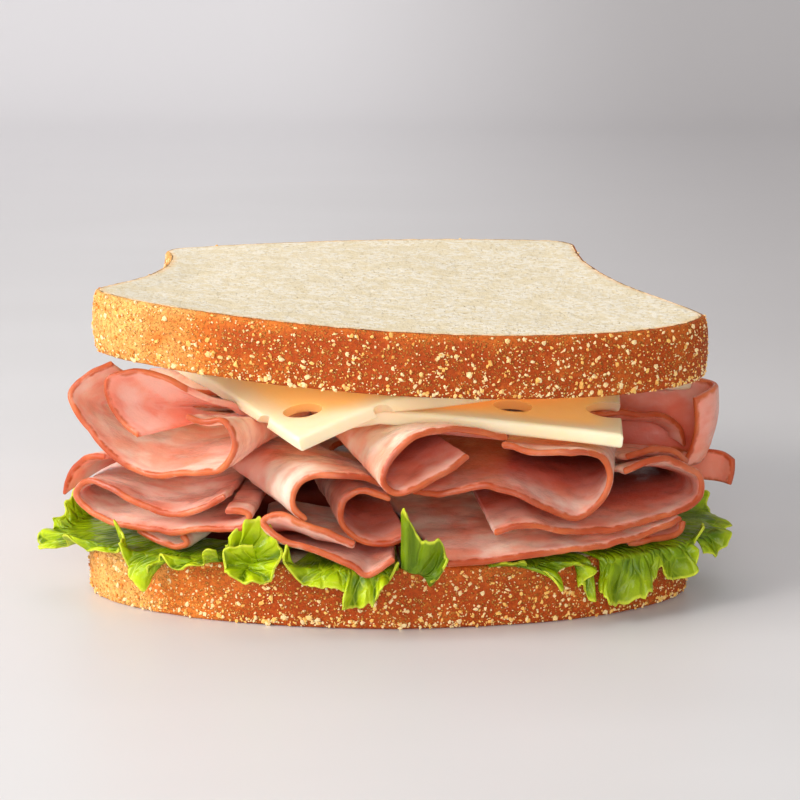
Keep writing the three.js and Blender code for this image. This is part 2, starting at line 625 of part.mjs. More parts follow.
// ---------------------------------------------------------------- the sandwich
const sandwich = new THREE.Group();
sandwich.name = "sandwich";
const startsWith = (prefix) => [...sheets.values()].filter(({ name }) => name.startsWith(prefix));
sandwich.add(
  named("bread_lower", gritSlice((x, y, z) => [x, y, z], 3), CRUST),
  named("bread_upper", gritSlice(upperPlace, 8), CRUST),
  groupOf(startsWith("cheese"), PALE_CHEESE),
  groupOf(startsWith("ham"), PINK_HAM),
  groupOf(startsWith("lettuce"), GREEN_LEAF),
);

export default sandwich;
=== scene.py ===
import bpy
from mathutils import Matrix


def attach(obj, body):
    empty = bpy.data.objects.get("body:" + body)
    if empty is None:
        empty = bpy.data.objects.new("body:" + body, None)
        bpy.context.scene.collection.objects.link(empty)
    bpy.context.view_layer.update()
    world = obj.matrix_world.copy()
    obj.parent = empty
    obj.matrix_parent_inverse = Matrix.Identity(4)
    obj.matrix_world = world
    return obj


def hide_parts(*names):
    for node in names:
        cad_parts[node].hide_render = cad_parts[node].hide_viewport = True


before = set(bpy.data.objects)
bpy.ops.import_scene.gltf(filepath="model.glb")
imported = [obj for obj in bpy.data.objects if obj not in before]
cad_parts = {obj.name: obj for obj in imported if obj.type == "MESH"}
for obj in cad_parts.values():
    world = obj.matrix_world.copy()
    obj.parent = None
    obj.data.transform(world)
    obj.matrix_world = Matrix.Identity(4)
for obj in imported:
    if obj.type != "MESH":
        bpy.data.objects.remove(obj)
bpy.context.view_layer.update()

import logging
import math
from dataclasses import dataclass
from enum import Enum
from typing import Callable, Mapping, Sequence

import bpy
import numpy as np
from mathutils import Vector
from numpy.typing import NDArray

LOG = logging.getLogger("sandwich")
MM = 0.001
Grid = NDArray[np.float64]
Indices = NDArray[np.int64]
Surface = Callable[[Grid, Grid], Grid]
Relief = Callable[[Grid, int], Grid]
Colour = tuple[float, float, float]
Socket = bpy.types.NodeSocket
Feed = Socket | float | Colour

# Odd numbers that scramble x, y, z, the seed and the sum of them, the same as in the part.
SCRAMBLE = (374761393, 668265263, 2246822519, 3266489917, 1274126177)
WORD = 2**32
LOW_BITS = 65535
# The part's own row of draws: each is the last times the factor, plus the step.
DRAW_FACTOR, DRAW_STEP = 1664525, 1013904223
# Where the grid lines stand on a sheet's rounded edge, in degrees.
EDGE_TURNS = (0.0, 24.0, 46.0, 68.0)


class Slot(Enum):
    """The record's material slots."""

    BREAD = "bread"
    HAM = "ham"
    CHEESE = "cheese"
    LETTUCE = "lettuce"


# ------------------------------------------------------------------ numbers on whole arrays


def smooth_step(value: Grid, low: float, high: float) -> Grid:
    """Rises from 0 at low to 1 at high along 3t² - 2t³.

    Args:
        value: the numbers to grade.
        low: where the rise starts.
        high: where it ends.

    Returns:
        The grades, each from 0 to 1.
    """
    share = np.clip((value - low) / (high - low), 0.0, 1.0)
    return share * share * (3.0 - 2.0 * share)


def mix(low: Grid | float, high: Grid | float, share: Grid | float) -> Grid | float:
    """Goes from low to high as share goes from 0 to 1."""
    return low + (high - low) * share


def signed_power(value: Grid, power: float) -> Grid:
    """Raises the size of each number to a power and keeps its sign."""
    return np.sign(value) * np.abs(value) ** power


def lattice_value(i: Indices, j: Indices, k: Indices, seed: int) -> Grid:
    """Scrambles whole coordinates into repeatable values.

    Args:
        i: the first coordinates.
        j: the second coordinates.
        k: the third coordinates.
        seed: another seed gives other values.

    Returns:
        One value from 0 to 1 per point.
    """
    axes = [axis.astype(np.int64).astype(np.uint32) for axis in (i, j, k)]
    by_seed = np.uint32(seed * SCRAMBLE[3] % WORD)
    mixed = sum((axis * np.uint32(odd) for axis, odd in zip(axes, SCRAMBLE)), by_seed)
    mixed = (mixed ^ (mixed >> np.uint32(13))) * np.uint32(SCRAMBLE[4])
    mixed = mixed ^ (mixed >> np.uint32(16))
    return (mixed & np.uint32(LOW_BITS)).astype(float) / LOW_BITS


def value_noise(points: Grid, size: float, seed: int) -> Grid:
    """Soft lumps: random values on a cubic lattice, blended smoothly between its corners.

    Args:
        points: places, with x, y and z along the last axis.
        size: the lattice's pitch, in the same unit.
        seed: another seed gives other lumps.

    Returns:
        One value from -1 to 1 per place.
    """
    scaled = points / size
    whole = np.floor(scaled)
    part = scaled - whole
    part = part * part * (3.0 - 2.0 * part)
    total = np.zeros(points.shape[:-1])
    for corner in range(8):
        step = np.array([corner & 1, corner >> 1 & 1, corner >> 2 & 1])
        weight = np.prod(np.where(step, part, 1.0 - part), axis=-1)
        at = whole + step
        total += weight * lattice_value(at[..., 0], at[..., 1], at[..., 2], seed)
    return 2.0 * total - 1.0


class SmoothCurve:
    """A centripetal Catmull-Rom curve through a few points, read by its own length."""

    def __init__(self, points: Sequence[Sequence[float]], steps: int = 60) -> None:
        """Samples the curve.

        Each span is a cubic whose end slopes come from the neighbouring points, weighted by the
        square roots of the distances between them.

        Args:
            points: the points that it passes through.
            steps: samples on each span.
        """
        given = np.array(points, float)
        first, last = 2 * given[0] - given[1], 2 * given[-1] - given[-2]
        line = np.vstack([first, given, last])
        p0, p1, p2, p3 = line[:-3], line[1:-2], line[2:-1], line[3:]
        gaps = np.sqrt(np.linalg.norm(np.diff(line, axis=0), axis=1))[:, None]
        before, here, after = gaps[:-2], gaps[1:-1], gaps[2:]
        start = (p1 - p0) / before - (p2 - p0) / (before + here) + (p2 - p1) / here
        end = (p2 - p1) / here - (p3 - p1) / (here + after) + (p3 - p2) / after
        start, end = start * here, end * here
        w = np.linspace(0.0, 1.0, steps, endpoint=False)[None, :, None]
        p1, p2, start, end = (part[:, None, :] for part in (p1, p2, start, end))
        cubic = (2 * p1 - 2 * p2 + start + end) * w**3
        square = (-3 * p1 + 3 * p2 - 2 * start - end) * w**2
        samples = (cubic + square + start * w + p1).reshape(-1, given.shape[1])
        self.samples = np.vstack([samples, given[-1]])
        spans = np.linalg.norm(np.diff(self.samples, axis=0), axis=1)
        self.lengths = np.concatenate([[0.0], np.cumsum(spans)])

    @property
    def length(self) -> float:
        """The whole length of the curve."""
        return float(self.lengths[-1])

    def at(self, share: Grid) -> Grid:
        """Reads the curve.

        Args:
            share: shares of its length, from 0 to 1.

        Returns:
            The points there, with their coordinates along the last axis.
        """
        where = np.asarray(share) * self.length
        axes = [np.interp(where, self.lengths, axis) for axis in self.samples.T]
        return np.stack(axes, axis=-1)


def part_draws(seed: int) -> Callable[[], float]:
    """The part's own repeatable draws between 0 and 1, so that both make the same folds.

    Args:
        seed: where the row of draws starts.

    Returns:
        A function that gives the next draw.
    """
    state = seed

    def draw() -> float:
        """Takes one step of the linear congruential row.

        Returns:
            The new draw.
        """
        nonlocal state
        state = (state * DRAW_FACTOR + DRAW_STEP) % WORD
        return state / WORD

    return draw


# ------------------------------------------------------------------ meshes from grids


def quads(index: Indices) -> Indices:
    """One four-sided face for each cell of a grid of vertex numbers."""
    corners = [index[:-1, :-1], index[1:, :-1], index[1:, 1:], index[:-1, 1:]]
    return np.stack(corners, axis=-1).reshape(-1, 4)


def make_piece(
    name: str,
    points: Grid,
    faces: Sequence[Indices],
    marks: Mapping[str, Grid] | None = None,
) -> bpy.types.Object:
    """Puts points and faces into a new smooth-shaded mesh object at the origin.

    Args:
        name: the piece's name.
        points: vertex places in millimetres.
        faces: arrays of faces, each with its own number of corners.
        marks: named values per vertex for the material, as numbers or as triples.

    Returns:
        The object.
    """
    mesh = bpy.data.meshes.new(name)
    mesh.vertices.add(len(points))
    mesh.vertices.foreach_set("co", (points * MM).astype(np.float32).ravel())
    corners = np.concatenate([block.ravel() for block in faces]).astype(np.int32)
    sizes = np.concatenate([np.full(len(block), block.shape[1]) for block in faces])
    starts = np.concatenate([[0], np.cumsum(sizes)[:-1]]).astype(np.int32)
    mesh.loops.add(len(corners))
    mesh.loops.foreach_set("vertex_index", corners)
    mesh.polygons.add(len(sizes))
    mesh.polygons.foreach_set("loop_start", starts)
    mesh.update(calc_edges=True)
    for mark, values in (marks or {}).items():
        triple = values.ndim == 2
        kind = "FLOAT_VECTOR" if triple else "FLOAT"
        store = mesh.attributes.new(mark, kind, "POINT")
        store.data.foreach_set("vector" if triple else "value", values.astype(np.float32).ravel())
    mesh.validate()
    mesh.shade_smooth()
    piece = bpy.data.objects.new(name, mesh)
    bpy.context.scene.collection.objects.link(piece)
    return piece


def edge_graded(length: float, edge: float, pitch: float) -> Grid:
    """Grid lines across a sheet: crowded over its rounded edges and even between them.

    Args:
        length: the sheet's size across, in mm.
        edge: how wide the rounded edge is.
        pitch: the distance between lines in the middle.

    Returns:
        The lines' shares of the length, from 0 to 1.
    """
    rounded = edge * (1.0 - np.cos(np.radians(EDGE_TURNS)))
    count = max(int(round((length - 2 * edge) / pitch)), 2)
    even = np.linspace(edge, length - edge, count + 1)
    return np.concatenate([rounded, even, (length - rounded)[::-1]]) / length


def closed_rings(rings: int, around: int) -> list[Indices]:
    """Faces over a stack of rings of points, closed by a pole point at either end.

    Args:
        rings: how many rings there are.
        around: how many points each of them has.

    Returns:
        The four-sided faces between the rings, and the fans round the two poles, whose numbers
        come after all the rings' own.
    """
    index = np.arange(rings * around).reshape(rings, around)
    index = np.concatenate([index, index[:, :1]], axis=1)
    first, last = index[0], index[-1]
    pole = np.full(around, rings * around)
    low_fan = np.stack([first[1:], first[:-1], pole], axis=-1)
    high_fan = np.stack([last[:-1], last[1:], pole + 1], axis=-1)
    return [quads(index.T), low_fan, high_fan]


def surroundings(places: Grid, pitch: tuple[float, float], reach: float = 2.2) -> Grid:
    """Averages each place of a grid with those around it, in a window of about reach mm.

    Args:
        places: the grid.
        pitch: the size of its cells.
        reach: how far the window goes, in mm.

    Returns:
        The averages.
    """
    for axis in (0, 1):
        steps = max(int(round(reach / pitch[axis])), 1)
        shifts = range(-steps, steps + 1)
        count = places.shape[axis]
        picks = [np.clip(np.arange(count) + shift, 0, count - 1) for shift in shifts]
        places = sum(np.take(places, pick, axis=axis) for pick in picks) / len(picks)
    return places


@dataclass(frozen=True)
class Sheet:
    """A thin sheet: a middle surface with a face on either side and rounded edges.

    Attributes:
        name: the node that it stands for.
        middle: gives the middle surface, in mm, from u and v on whole arrays.
        thickness: the distance between its faces.
        edge: the radius of its rounded edges, at most half the thickness.
        pitch: the size of its cells along u and along v.
        relief: how far either face stands off besides, from places in mm and a side of 1 or -1.
        inner: the side, 1 or -1, that lies inside a roll, or 0 without one.
        rind_all_round: whether the mark rim counts from every edge, or from v = 0 alone.
        tone_and_shade: how much painted shade darkens the sheet besides, for the material.
        thinnest: half the thickness that is left at the very edge.
    """

    name: str
    middle: Surface
    thickness: float
    edge: float
    pitch: tuple[float, float] = (0.9, 1.2)
    relief: Relief | None = None
    inner: int = 0
    rind_all_round: bool = True
    tone_and_shade: float = 0.0
    thinnest: float = 0.02

    def size(self) -> tuple[float, float]:
        """Measures the sheet on a coarse grid.

        Returns:
            Its greatest length along u and its mean length along v, in mm.
        """
        u, v = np.meshgrid(np.linspace(0, 1, 60), np.linspace(0, 1, 16), indexing="ij")
        places = self.middle(u, v)
        along = np.linalg.norm(np.diff(places, axis=0), axis=-1).sum(axis=0)
        across = np.linalg.norm(np.diff(places, axis=1), axis=-1).sum(axis=1)
        return float(along.max()), float(across.mean())

    def build(self) -> bpy.types.Object:
        """Makes the closed mesh: middle(u, v) plus and minus half the thickness along the normal,
        less the share that the round edge takes, 1 - sqrt(1 - (1 - d/edge)²) of the edge radius.

        Returns:
            The object, with the marks rim (mm from the nearest edge), front (mm from the edge
            v = 0), hem (mm from the edge v = 1), cloth (mm along u, mm along v, side), inside (1
            on the inner face), hollow (mm that a place lies below its surroundings) and
            tone_and_shade (the painted shade).
        """
        length, depth = self.size()
        us = edge_graded(length, self.edge, self.pitch[0])
        vs = edge_graded(depth, self.edge, self.pitch[1])
        u, v = np.meshgrid(us, vs, indexing="ij")
        places = self.middle(u, v)
        normal = np.cross(np.gradient(places, us, axis=0), np.gradient(places, vs, axis=1))
        normal /= np.maximum(np.linalg.norm(normal, axis=-1, keepdims=True), 1e-9)
        from_edge = np.minimum(np.minimum(u, 1 - u) * length, np.minimum(v, 1 - v) * depth)
        near = np.clip(from_edge / self.edge, 0, 1)
        lost = self.edge * (1.0 - np.sqrt(np.maximum(1.0 - (1.0 - near) ** 2, 0.0)))
        half = np.maximum(self.thickness / 2 - lost, self.thinnest)
        index = np.arange(u.size).reshape(u.shape)
        sunk = ((surroundings(places, self.pitch) - places) * normal).sum(axis=-1)
        points, cloths = [], []
        for side in (1, -1):
            stand = half if self.relief is None else half + self.relief(places, side)
            points.append((places + side * stand[..., None] * normal).reshape(-1, 3))
            cloth = np.stack([u * length, v * depth, np.full(u.shape, float(side))], -1)
            cloths.append(cloth.reshape(-1, 3))
        around = [index[:, 0], index[-1, 1:], index[-2::-1, -1], index[0, -2::-1]]
        rim = np.concatenate(around)
        walls = quads(np.stack([rim, rim + u.size], axis=0))
        front, hem = (v * depth).ravel(), ((1 - v) * depth).ravel()
        marks = {
            "rim": np.tile(from_edge.ravel() if self.rind_all_round else front, 2),
            "front": np.tile(front, 2),
            "hem": np.tile(hem, 2),
            "cloth": np.vstack(cloths),
            "inside": np.repeat([self.inner == 1, self.inner == -1], u.size).astype(float),
            "hollow": np.concatenate([sunk.ravel(), -sunk.ravel()]),
            "tone_and_shade": np.full(2 * u.size, self.tone_and_shade),
        }
        faces = [quads(index), quads(index[:, ::-1] + u.size), walls]
        return make_piece(self.name, np.vstack(points), faces, marks)


# ------------------------------------------------------------------ finishes


def linear(red: int, green: int, blue: int) -> Colour:
    """Turns a screen colour of 0 to 255 into the linear light that shaders use."""
    shares = (value / 255 for value in (red, green, blue))
    return tuple(s / 12.92 if s <= 0.04045 else ((s + 0.055) / 1.055) ** 2.4 for s in shares)


class Recipe:
    """One material's node tree, put together a node at a time. Lengths in it are millimetres."""

    def __init__(self, name: str) -> None:
        """Starts with a principled shader and the object's own coordinates in millimetres.

        Args:
            name: the material's name.
        """
        self.material = bpy.data.materials.new(name)
        self.material.use_nodes = True
        self.tree = self.material.node_tree
        self.tree.nodes.clear()
        output = self.tree.nodes.new("ShaderNodeOutputMaterial")
        self.shader = self.tree.nodes.new("ShaderNodeBsdfPrincipled")
        self.tree.links.new(self.shader.outputs[0], output.inputs["Surface"])
        self.place = self.vector_math("SCALE", self.add("TexCoord", {}, "Object"), 1.0 / MM)

    def feed(self, socket: Socket, value: Feed) -> None:
        """Links a socket to another node, or sets its constant.

        Args:
            socket: the socket to fill.
            value: another node's socket, a number, a vector or a colour.
        """
        if isinstance(value, bpy.types.NodeSocket):
            self.tree.links.new(value, socket)
        elif isinstance(value, tuple) and socket.type == "RGBA":
            socket.default_value = (*value, 1.0)
        else:
            socket.default_value = value

    def add(
        self,
        kind: str,
        inputs: Mapping[int | str, Feed],
        output: int | str = 0,
        **settings: str | bool,
    ) -> Socket:
        """Adds a node.

        Args:
            kind: its type, without the leading ShaderNode.
            inputs: what goes into its sockets, by their numbers or names.
            output: the socket to hand on.
            settings: its other properties.

        Returns:
            That socket.
        """
        node = self.tree.nodes.new("ShaderNode" + kind)
        for name, value in settings.items():
            setattr(node, name, value)
        for socket, value in inputs.items():
            self.feed(node.inputs[socket], value)
        return node.outputs[output]

    def vector_math(self, operation: str, first: Feed, second: Feed) -> Socket:
        """A step of vector arithmetic: SCALE takes a number second, the others a vector."""
        sockets = {0: first, "Scale" if operation == "SCALE" else 1: second}
        return self.add("VectorMath", sockets, operation=operation)

    def math(self, operation: str, first: Feed, second: Feed, clamp: bool = False) -> Socket:
        """A step of arithmetic on two numbers."""
        return self.add("Math", {0: first, 1: second}, operation=operation, use_clamp=clamp)

    def plus(self, first: Feed, second: Feed, clamp: bool = False) -> Socket:
        """The sum of two numbers, held between 0 and 1 with clamp."""
        return self.math("ADD", first, second, clamp)

    def times(self, first: Feed, second: Feed) -> Socket:
        """The product of two numbers."""
        return self.math("MULTIPLY", first, second)

    def grade(
        self, value: Feed, low: float, high: float, to_low: float = 0.0, to_high: float = 1.0
    ) -> Socket:
        """Maps low..high smoothly onto to_low..to_high and holds it outside."""
        sockets = dict(enumerate((value, low, high, to_low, to_high)))
        return self.add("MapRange", sockets, interpolation_type="SMOOTHSTEP")

    def mark(self, name: str, output: str = "Fac") -> Socket:
        """Reads one of the mesh's named values: its output Vector gives triples."""
        return self.add("Attribute", {}, output, attribute_name=name)

    def noise(
        self, size: float, detail: float = 3.0, rough: float = 0.5, at: Feed | None = None
    ) -> Socket:
        """Soft noise from 0 to 1 whose lumps are about size mm wide."""
        where = {"Vector": self.place if at is None else at, "Scale": 1.0 / size}
        return self.add("TexNoise", {**where, "Detail": detail, "Roughness": rough})

    def cells(
        self, size: float, feature: str = "F1", at: Feed | None = None, output: str = "Distance"
    ) -> Socket:
        """Cell noise: the distance to a cell's middle or edge, or the cell's own colour."""
        where = {"Vector": self.place if at is None else at, "Scale": 1.0 / size}
        return self.add("TexVoronoi", where, output, feature=feature)

    def blend(self, share: Feed, first: Feed, second: Feed) -> Socket:
        """Blends two colours, which are a mix node's sockets 6 and 7."""
        return self.add("Mix", {0: share, 6: first, 7: second}, 2, data_type="RGBA")

    def blend_numbers(self, share: Feed, first: Feed, second: Feed) -> Socket:
        """Blends two numbers, which are a mix node's sockets 2 and 3."""
        return self.add("Mix", {0: share, 2: first, 3: second})

    def part_of(self, vector: Socket, axis: int) -> Socket:
        """One of the three numbers of a vector."""
        return self.add("SeparateXYZ", {0: vector}, axis)

    def stretch(self, vector: Socket, scale: tuple[float, float, float]) -> Socket:
        """Multiplies each coordinate by its own factor."""
        return self.vector_math("MULTIPLY", vector, scale)

    def bump(self, height: Socket, depth: float) -> Socket:
        """Turns a height of 0 to 1 into surface normals: depth is the height in mm."""
        return self.add("Bump", {"Strength": 1.0, "Distance": depth * MM, "Height": height})

    def finish(self, **inputs: Feed) -> bpy.types.Material:
        """Feeds the shader's sockets and ends the recipe.

        Args:
            inputs: the sockets' values, by their names in small letters with underscores.

        Returns:
            The material.
        """
        for name, value in inputs.items():
            socket = "Specular IOR Level" if name == "specular" else name.replace("_", " ").title()
            self.feed(self.shader.inputs[socket], value)
        return self.material


@dataclass(frozen=True)
class BreadFinish:
    """Baked crust dusted with fine meal, and open creamy crumb on the cut faces.

    Attributes:
        border: where the crumb ends and the crust is full, along the mark skin.
        toast: the same for the golden tinge beside it.
        fray: how far the border wanders, in mm.
        relief: how deep the bumps are, in mm.
    """

    deep: Colour = linear(178, 70, 16)
    warm: Colour = linear(224, 122, 42)
    golden: Colour = linear(246, 184, 102)
    meal: Colour = linear(250, 188, 88)
    burnt: Colour = linear(138, 52, 12)
    crumb: Colour = linear(242, 233, 214)
    crumb_warm: Colour = linear(230, 213, 176)
    crumb_shade: Colour = linear(212, 188, 144)
    # Dark red painted shade for the crumb under the pile.
    pile_shade_colour: Colour = linear(120, 44, 28)
    border: tuple[float, float] = (-1.25, -0.6)
    toast: tuple[float, float] = (-3.4, -1.0)
    fray: float = 0.16
    relief: float = 0.45

    def material(self) -> bpy.types.Material:
        """Builds it. The mark skin is how far below the crust's border a place lies, in mm, and
        negative on the cut faces. The border frays by fine noise.

        Returns:
            The material.
        """
        bowl = Recipe("bread")
        fine = bowl.noise(1.1, 4.0, 0.65)
        speckle = bowl.part_of(bowl.cells(0.42, output="Color"), 0)
        sown = bowl.grade(bowl.noise(1.3), 0.4, 0.62)
        dusted = bowl.times(bowl.grade(bowl.cells(0.62), 0.46, 0.3), sown)
        pores = bowl.noise(1.3, 5.0, 0.65)
        pits = bowl.grade(bowl.noise(0.75, 2.0), 0.4, 0.28)
        fray = bowl.grade(fine, 0.3, 0.7, -self.fray, self.fray)
        ragged = bowl.plus(bowl.mark("skin"), fray)
        is_crust = bowl.grade(ragged, *self.border)
        crumb = self.crumb_colour(bowl, pores, pits)
        crumb = bowl.blend(bowl.grade(ragged, *self.toast, 0.0, 0.5), crumb, self.golden)
        grain = bowl.plus(bowl.times(fine, 0.6), dusted)
        grain = bowl.plus(grain, bowl.times(speckle, 0.35))
        holes = bowl.math("SUBTRACT", bowl.times(pores, 0.5), bowl.times(pits, 0.45))
        height = bowl.blend_numbers(is_crust, holes, grain)
        return bowl.finish(
            base_color=bowl.blend(is_crust, crumb, self.crust_colour(bowl, fine, speckle, dusted)),
            roughness=bowl.grade(is_crust, 0.0, 1.0, 0.9, 0.6),
            specular=0.18,
            normal=bowl.bump(height, self.relief),
        )

    def crust_colour(self, bowl: Recipe, fine: Socket, speckle: Socket, dusted: Socket) -> Socket:
        """The crust: from golden to deep along the mark baked, in patches, with dark specks and
        a dusting of meal.

        Args:
            bowl: the recipe.
            fine: fine noise.
            speckle: one value for each small cell.
            dusted: where meal lies.

        Returns:
            The colour.
        """
        patches = bowl.grade(bowl.noise(9.0, 3.0, 0.6), 0.3, 0.7, -0.16, 0.16)
        browned = bowl.plus(bowl.mark("baked"), patches, clamp=True)
        colour = bowl.blend(bowl.grade(browned, 0.05, 0.55), self.golden, self.warm)
        colour = bowl.blend(bowl.grade(browned, 0.4, 1.0), colour, self.deep)
        colour = bowl.blend(bowl.grade(fine, 0.5, 0.72, 0.0, 0.5), colour, self.warm)
        colour = bowl.blend(bowl.grade(speckle, 0.55, 0.0, 0.0, 0.42), colour, self.burnt)
        return bowl.blend(bowl.times(dusted, 0.5), colour, self.meal)

    def crumb_colour(self, bowl: Recipe, pores: Socket, pits: Socket) -> Socket:
        """The crumb: cream with warmer pores and blotches, and painted shade in its pits. Under
        the pile, where its mark is 1, dark red painted shade covers it.

        Args:
            bowl: the recipe.
            pores: noise as wide as the pores.
            pits: where the deeper pits are.

        Returns:
            The colour.
        """
        colour = bowl.blend(bowl.grade(pores, 0.56, 0.38), self.crumb, self.crumb_warm)
        blotches = bowl.grade(bowl.noise(6.0, 4.0, 0.6), 0.45, 0.62, 0.0, 0.7)
        colour = bowl.blend(blotches, colour, self.crumb_warm)
        # Painted shade in the pits.
        colour = bowl.blend(bowl.times(pits, 0.6), colour, self.crumb_shade)
        # Dark red painted shade where the crumb lies under the pile.
        return bowl.blend(bowl.mark("pile_shade"), colour, self.pile_shade_colour)


@dataclass(frozen=True)
class GritFinish:
    """Cornmeal: pale, yellow and amber grits, told apart by the mark tone."""

    pale: Colour = linear(248, 216, 162)
    yellow: Colour = linear(246, 192, 102)
    amber: Colour = linear(224, 136, 50)

    def material(self) -> bpy.types.Material:
        """Builds it from pale to amber along the mark tone.

        Returns:
            The material.
        """
        bowl = Recipe("cornmeal")
        tone_and_shade = bowl.mark("tone_and_shade")
        colour = bowl.blend(bowl.grade(tone_and_shade, 0.25, 0.6), self.pale, self.yellow)
        return bowl.finish(
            base_color=bowl.blend(bowl.grade(tone_and_shade, 0.65, 0.95), colour, self.amber),
            roughness=0.45,
            specular=0.3,
            subsurface_weight=0.15,
            subsurface_scale=0.5 * MM,
            normal=bowl.bump(bowl.noise(0.3, 2.0), 0.05),
        )


@dataclass(frozen=True)
class HamFinish:
    """Moist pink ham with paler lean, soft grain and an orange-brown rind along its edges.
    Painted shade reddens and darkens it where little light reaches it.

    Attributes:
        streaks: how the grain is drawn out along the slice.
        rind_band: where the rind starts and is full, in mm from the edge.
        blush_band: the same for the flush beside it.
        shade_band: the same for the painted shade inside a roll, in mm behind the front edge.
        core_shade_band: the same for the darkest painted shade inside a roll.
    """

    pale: Colour = linear(255, 228, 210)
    pink: Colour = linear(252, 184, 156)
    rosy: Colour = linear(238, 128, 98)
    # Painted shade: deep for the shaded insides and the darker folds, darkest for the cores of the
    # rolls.
    deep: Colour = linear(206, 72, 44)
    darkest: Colour = linear(120, 30, 20)
    rind: Colour = linear(178, 76, 36)
    rind_light: Colour = linear(212, 116, 66)
    streaks: tuple[float, float, float] = (0.14, 0.26, 1.0)
    rind_band: tuple[float, float] = (1.1, 0.2)
    blush_band: tuple[float, float] = (3.4, 0.6)
    shade_band: tuple[float, float] = (1.0, 18.0)
    core_shade_band: tuple[float, float] = (12.0, 34.0)

    def material(self) -> bpy.types.Material:
        """Builds it. Grain follows the mark cloth, and the rind lies where rim is small.

        Returns:
            The material.
        """
        bowl = Recipe("ham")
        lumps = bowl.noise(13.0, 3.0, 0.55)
        streaks = bowl.noise(1.0, at=bowl.stretch(bowl.mark("cloth", "Vector"), self.streaks))
        fine = bowl.noise(0.7, 4.0, 0.6)
        frayed = bowl.grade(bowl.noise(2.2), 0.3, 0.7, -0.3, 0.3)
        rim = bowl.plus(bowl.mark("rim"), frayed)
        edge = bowl.blend(bowl.grade(lumps, 0.35, 0.7), self.rind, self.rind_light)
        meat = self.painted_shade(bowl, self.meat(bowl, lumps, streaks))
        meat = bowl.blend(bowl.grade(rim, *self.blush_band, 0.0, 0.22), meat, self.rosy)
        wet = bowl.grade(bowl.noise(9.0, 3.0, 0.6), 0.45, 0.62, 0.05, 0.8)
        return bowl.finish(
            base_color=bowl.blend(bowl.grade(rim, *self.rind_band), meat, edge),
            roughness=bowl.grade(fine, 0.3, 0.75, 0.3, 0.5),
            specular=0.3,
            coat_weight=wet,
            coat_roughness=0.16,
            coat_normal=bowl.bump(bowl.noise(0.8, 3.0, 0.6), 0.28),
            subsurface_weight=0.45,
            subsurface_radius=(1.0, 0.36, 0.24),
            subsurface_scale=2.4 * MM,
            normal=bowl.bump(bowl.plus(streaks, bowl.times(fine, 0.8)), 0.11),
        )

    def meat(self, bowl: Recipe, lumps: Socket, streaks: Socket) -> Socket:
        """The meat where light reaches it: pale and pink lumps, rosy patches and streaks of both.

        Args:
            bowl: the recipe.
            lumps: broad noise.
            streaks: noise drawn out along the grain.

        Returns:
            The colour.
        """
        patches = bowl.grade(bowl.noise(21.0, 2.0), 0.46, 0.64, 0.0, 0.45)
        colour = bowl.blend(bowl.grade(lumps, 0.36, 0.56), self.pink, self.pale)
        colour = bowl.blend(patches, colour, self.rosy)
        colour = bowl.blend(bowl.grade(streaks, 0.48, 0.74, 0.0, 0.5), colour, self.rosy)
        return bowl.blend(bowl.grade(streaks, 0.46, 0.24, 0.0, 0.6), colour, self.pale)

    def painted_shade(self, bowl: Recipe, colour: Socket) -> Socket:
        """Paints shade on the meat: redder inward on the face marked inside, and everywhere by the
        mark tone_and_shade.

        Args:
            bowl: the recipe.
            colour: the meat's colour.

        Returns:
            The colour with its painted shade.
        """
        inside, front = bowl.mark("inside"), bowl.mark("front")
        # Painted shade, redder inward on the inner face of a roll.
        inward = bowl.times(inside, bowl.grade(front, *self.shade_band, 0.2, 1.0))
        colour = bowl.blend(bowl.times(inward, 0.85), colour, self.deep)
        # Painted shade over a whole fold that lies in shade.
        colour = bowl.blend(bowl.mark("tone_and_shade"), colour, self.deep)
        # Painted shade, darkest deep inside a roll.
        core = bowl.times(inside, bowl.grade(front, *self.core_shade_band, 0.0, 0.85))
        return bowl.blend(core, colour, self.darkest)


@dataclass(frozen=True)
class CheeseFinish:
    """Smooth pale yellow cheese with a soft sheen.

    Attributes:
        glow_band: where the light from the crust starts and is full, in mm under the bread.
        glow: how strongly it shines there.
    """

    cream: Colour = linear(253, 234, 200)
    deep: Colour = linear(251, 224, 178)
    amber: Colour = linear(255, 190, 104)
    glow_band: tuple[float, float] = (0.4, 8.0)
    glow: float = 0.22

    def material(self) -> bpy.types.Material:
        """Builds it: faint clouds of a deeper yellow, painted amber light from the crust, in the
        colour and glowing, where the mark under says that the bread is near, and a fine waxy
        grain.

        Returns:
            The material.
        """
        bowl = Recipe("cheese")
        clouds = bowl.grade(bowl.noise(16.0), 0.35, 0.7, 0.0, 0.7)
        crust_glow = bowl.grade(bowl.mark("under"), *self.glow_band, 0.0, 0.85)
        grain = bowl.plus(bowl.noise(3.5), bowl.times(bowl.noise(0.5, 2.0), 0.2))
        return bowl.finish(
            # Painted light: the crust's amber bounce, blended into the colour and glowing as
            # emission.
            base_color=bowl.blend(crust_glow, bowl.blend(clouds, self.cream, self.deep), self.amber),
            roughness=0.4,
            specular=0.3,
            emission_color=self.amber,
            emission_strength=bowl.times(crust_glow, self.glow),
            subsurface_weight=0.5,
            subsurface_radius=(1.0, 0.6, 0.3),
            subsurface_scale=5.0 * MM,
            normal=bowl.bump(grain, 0.12),
        )


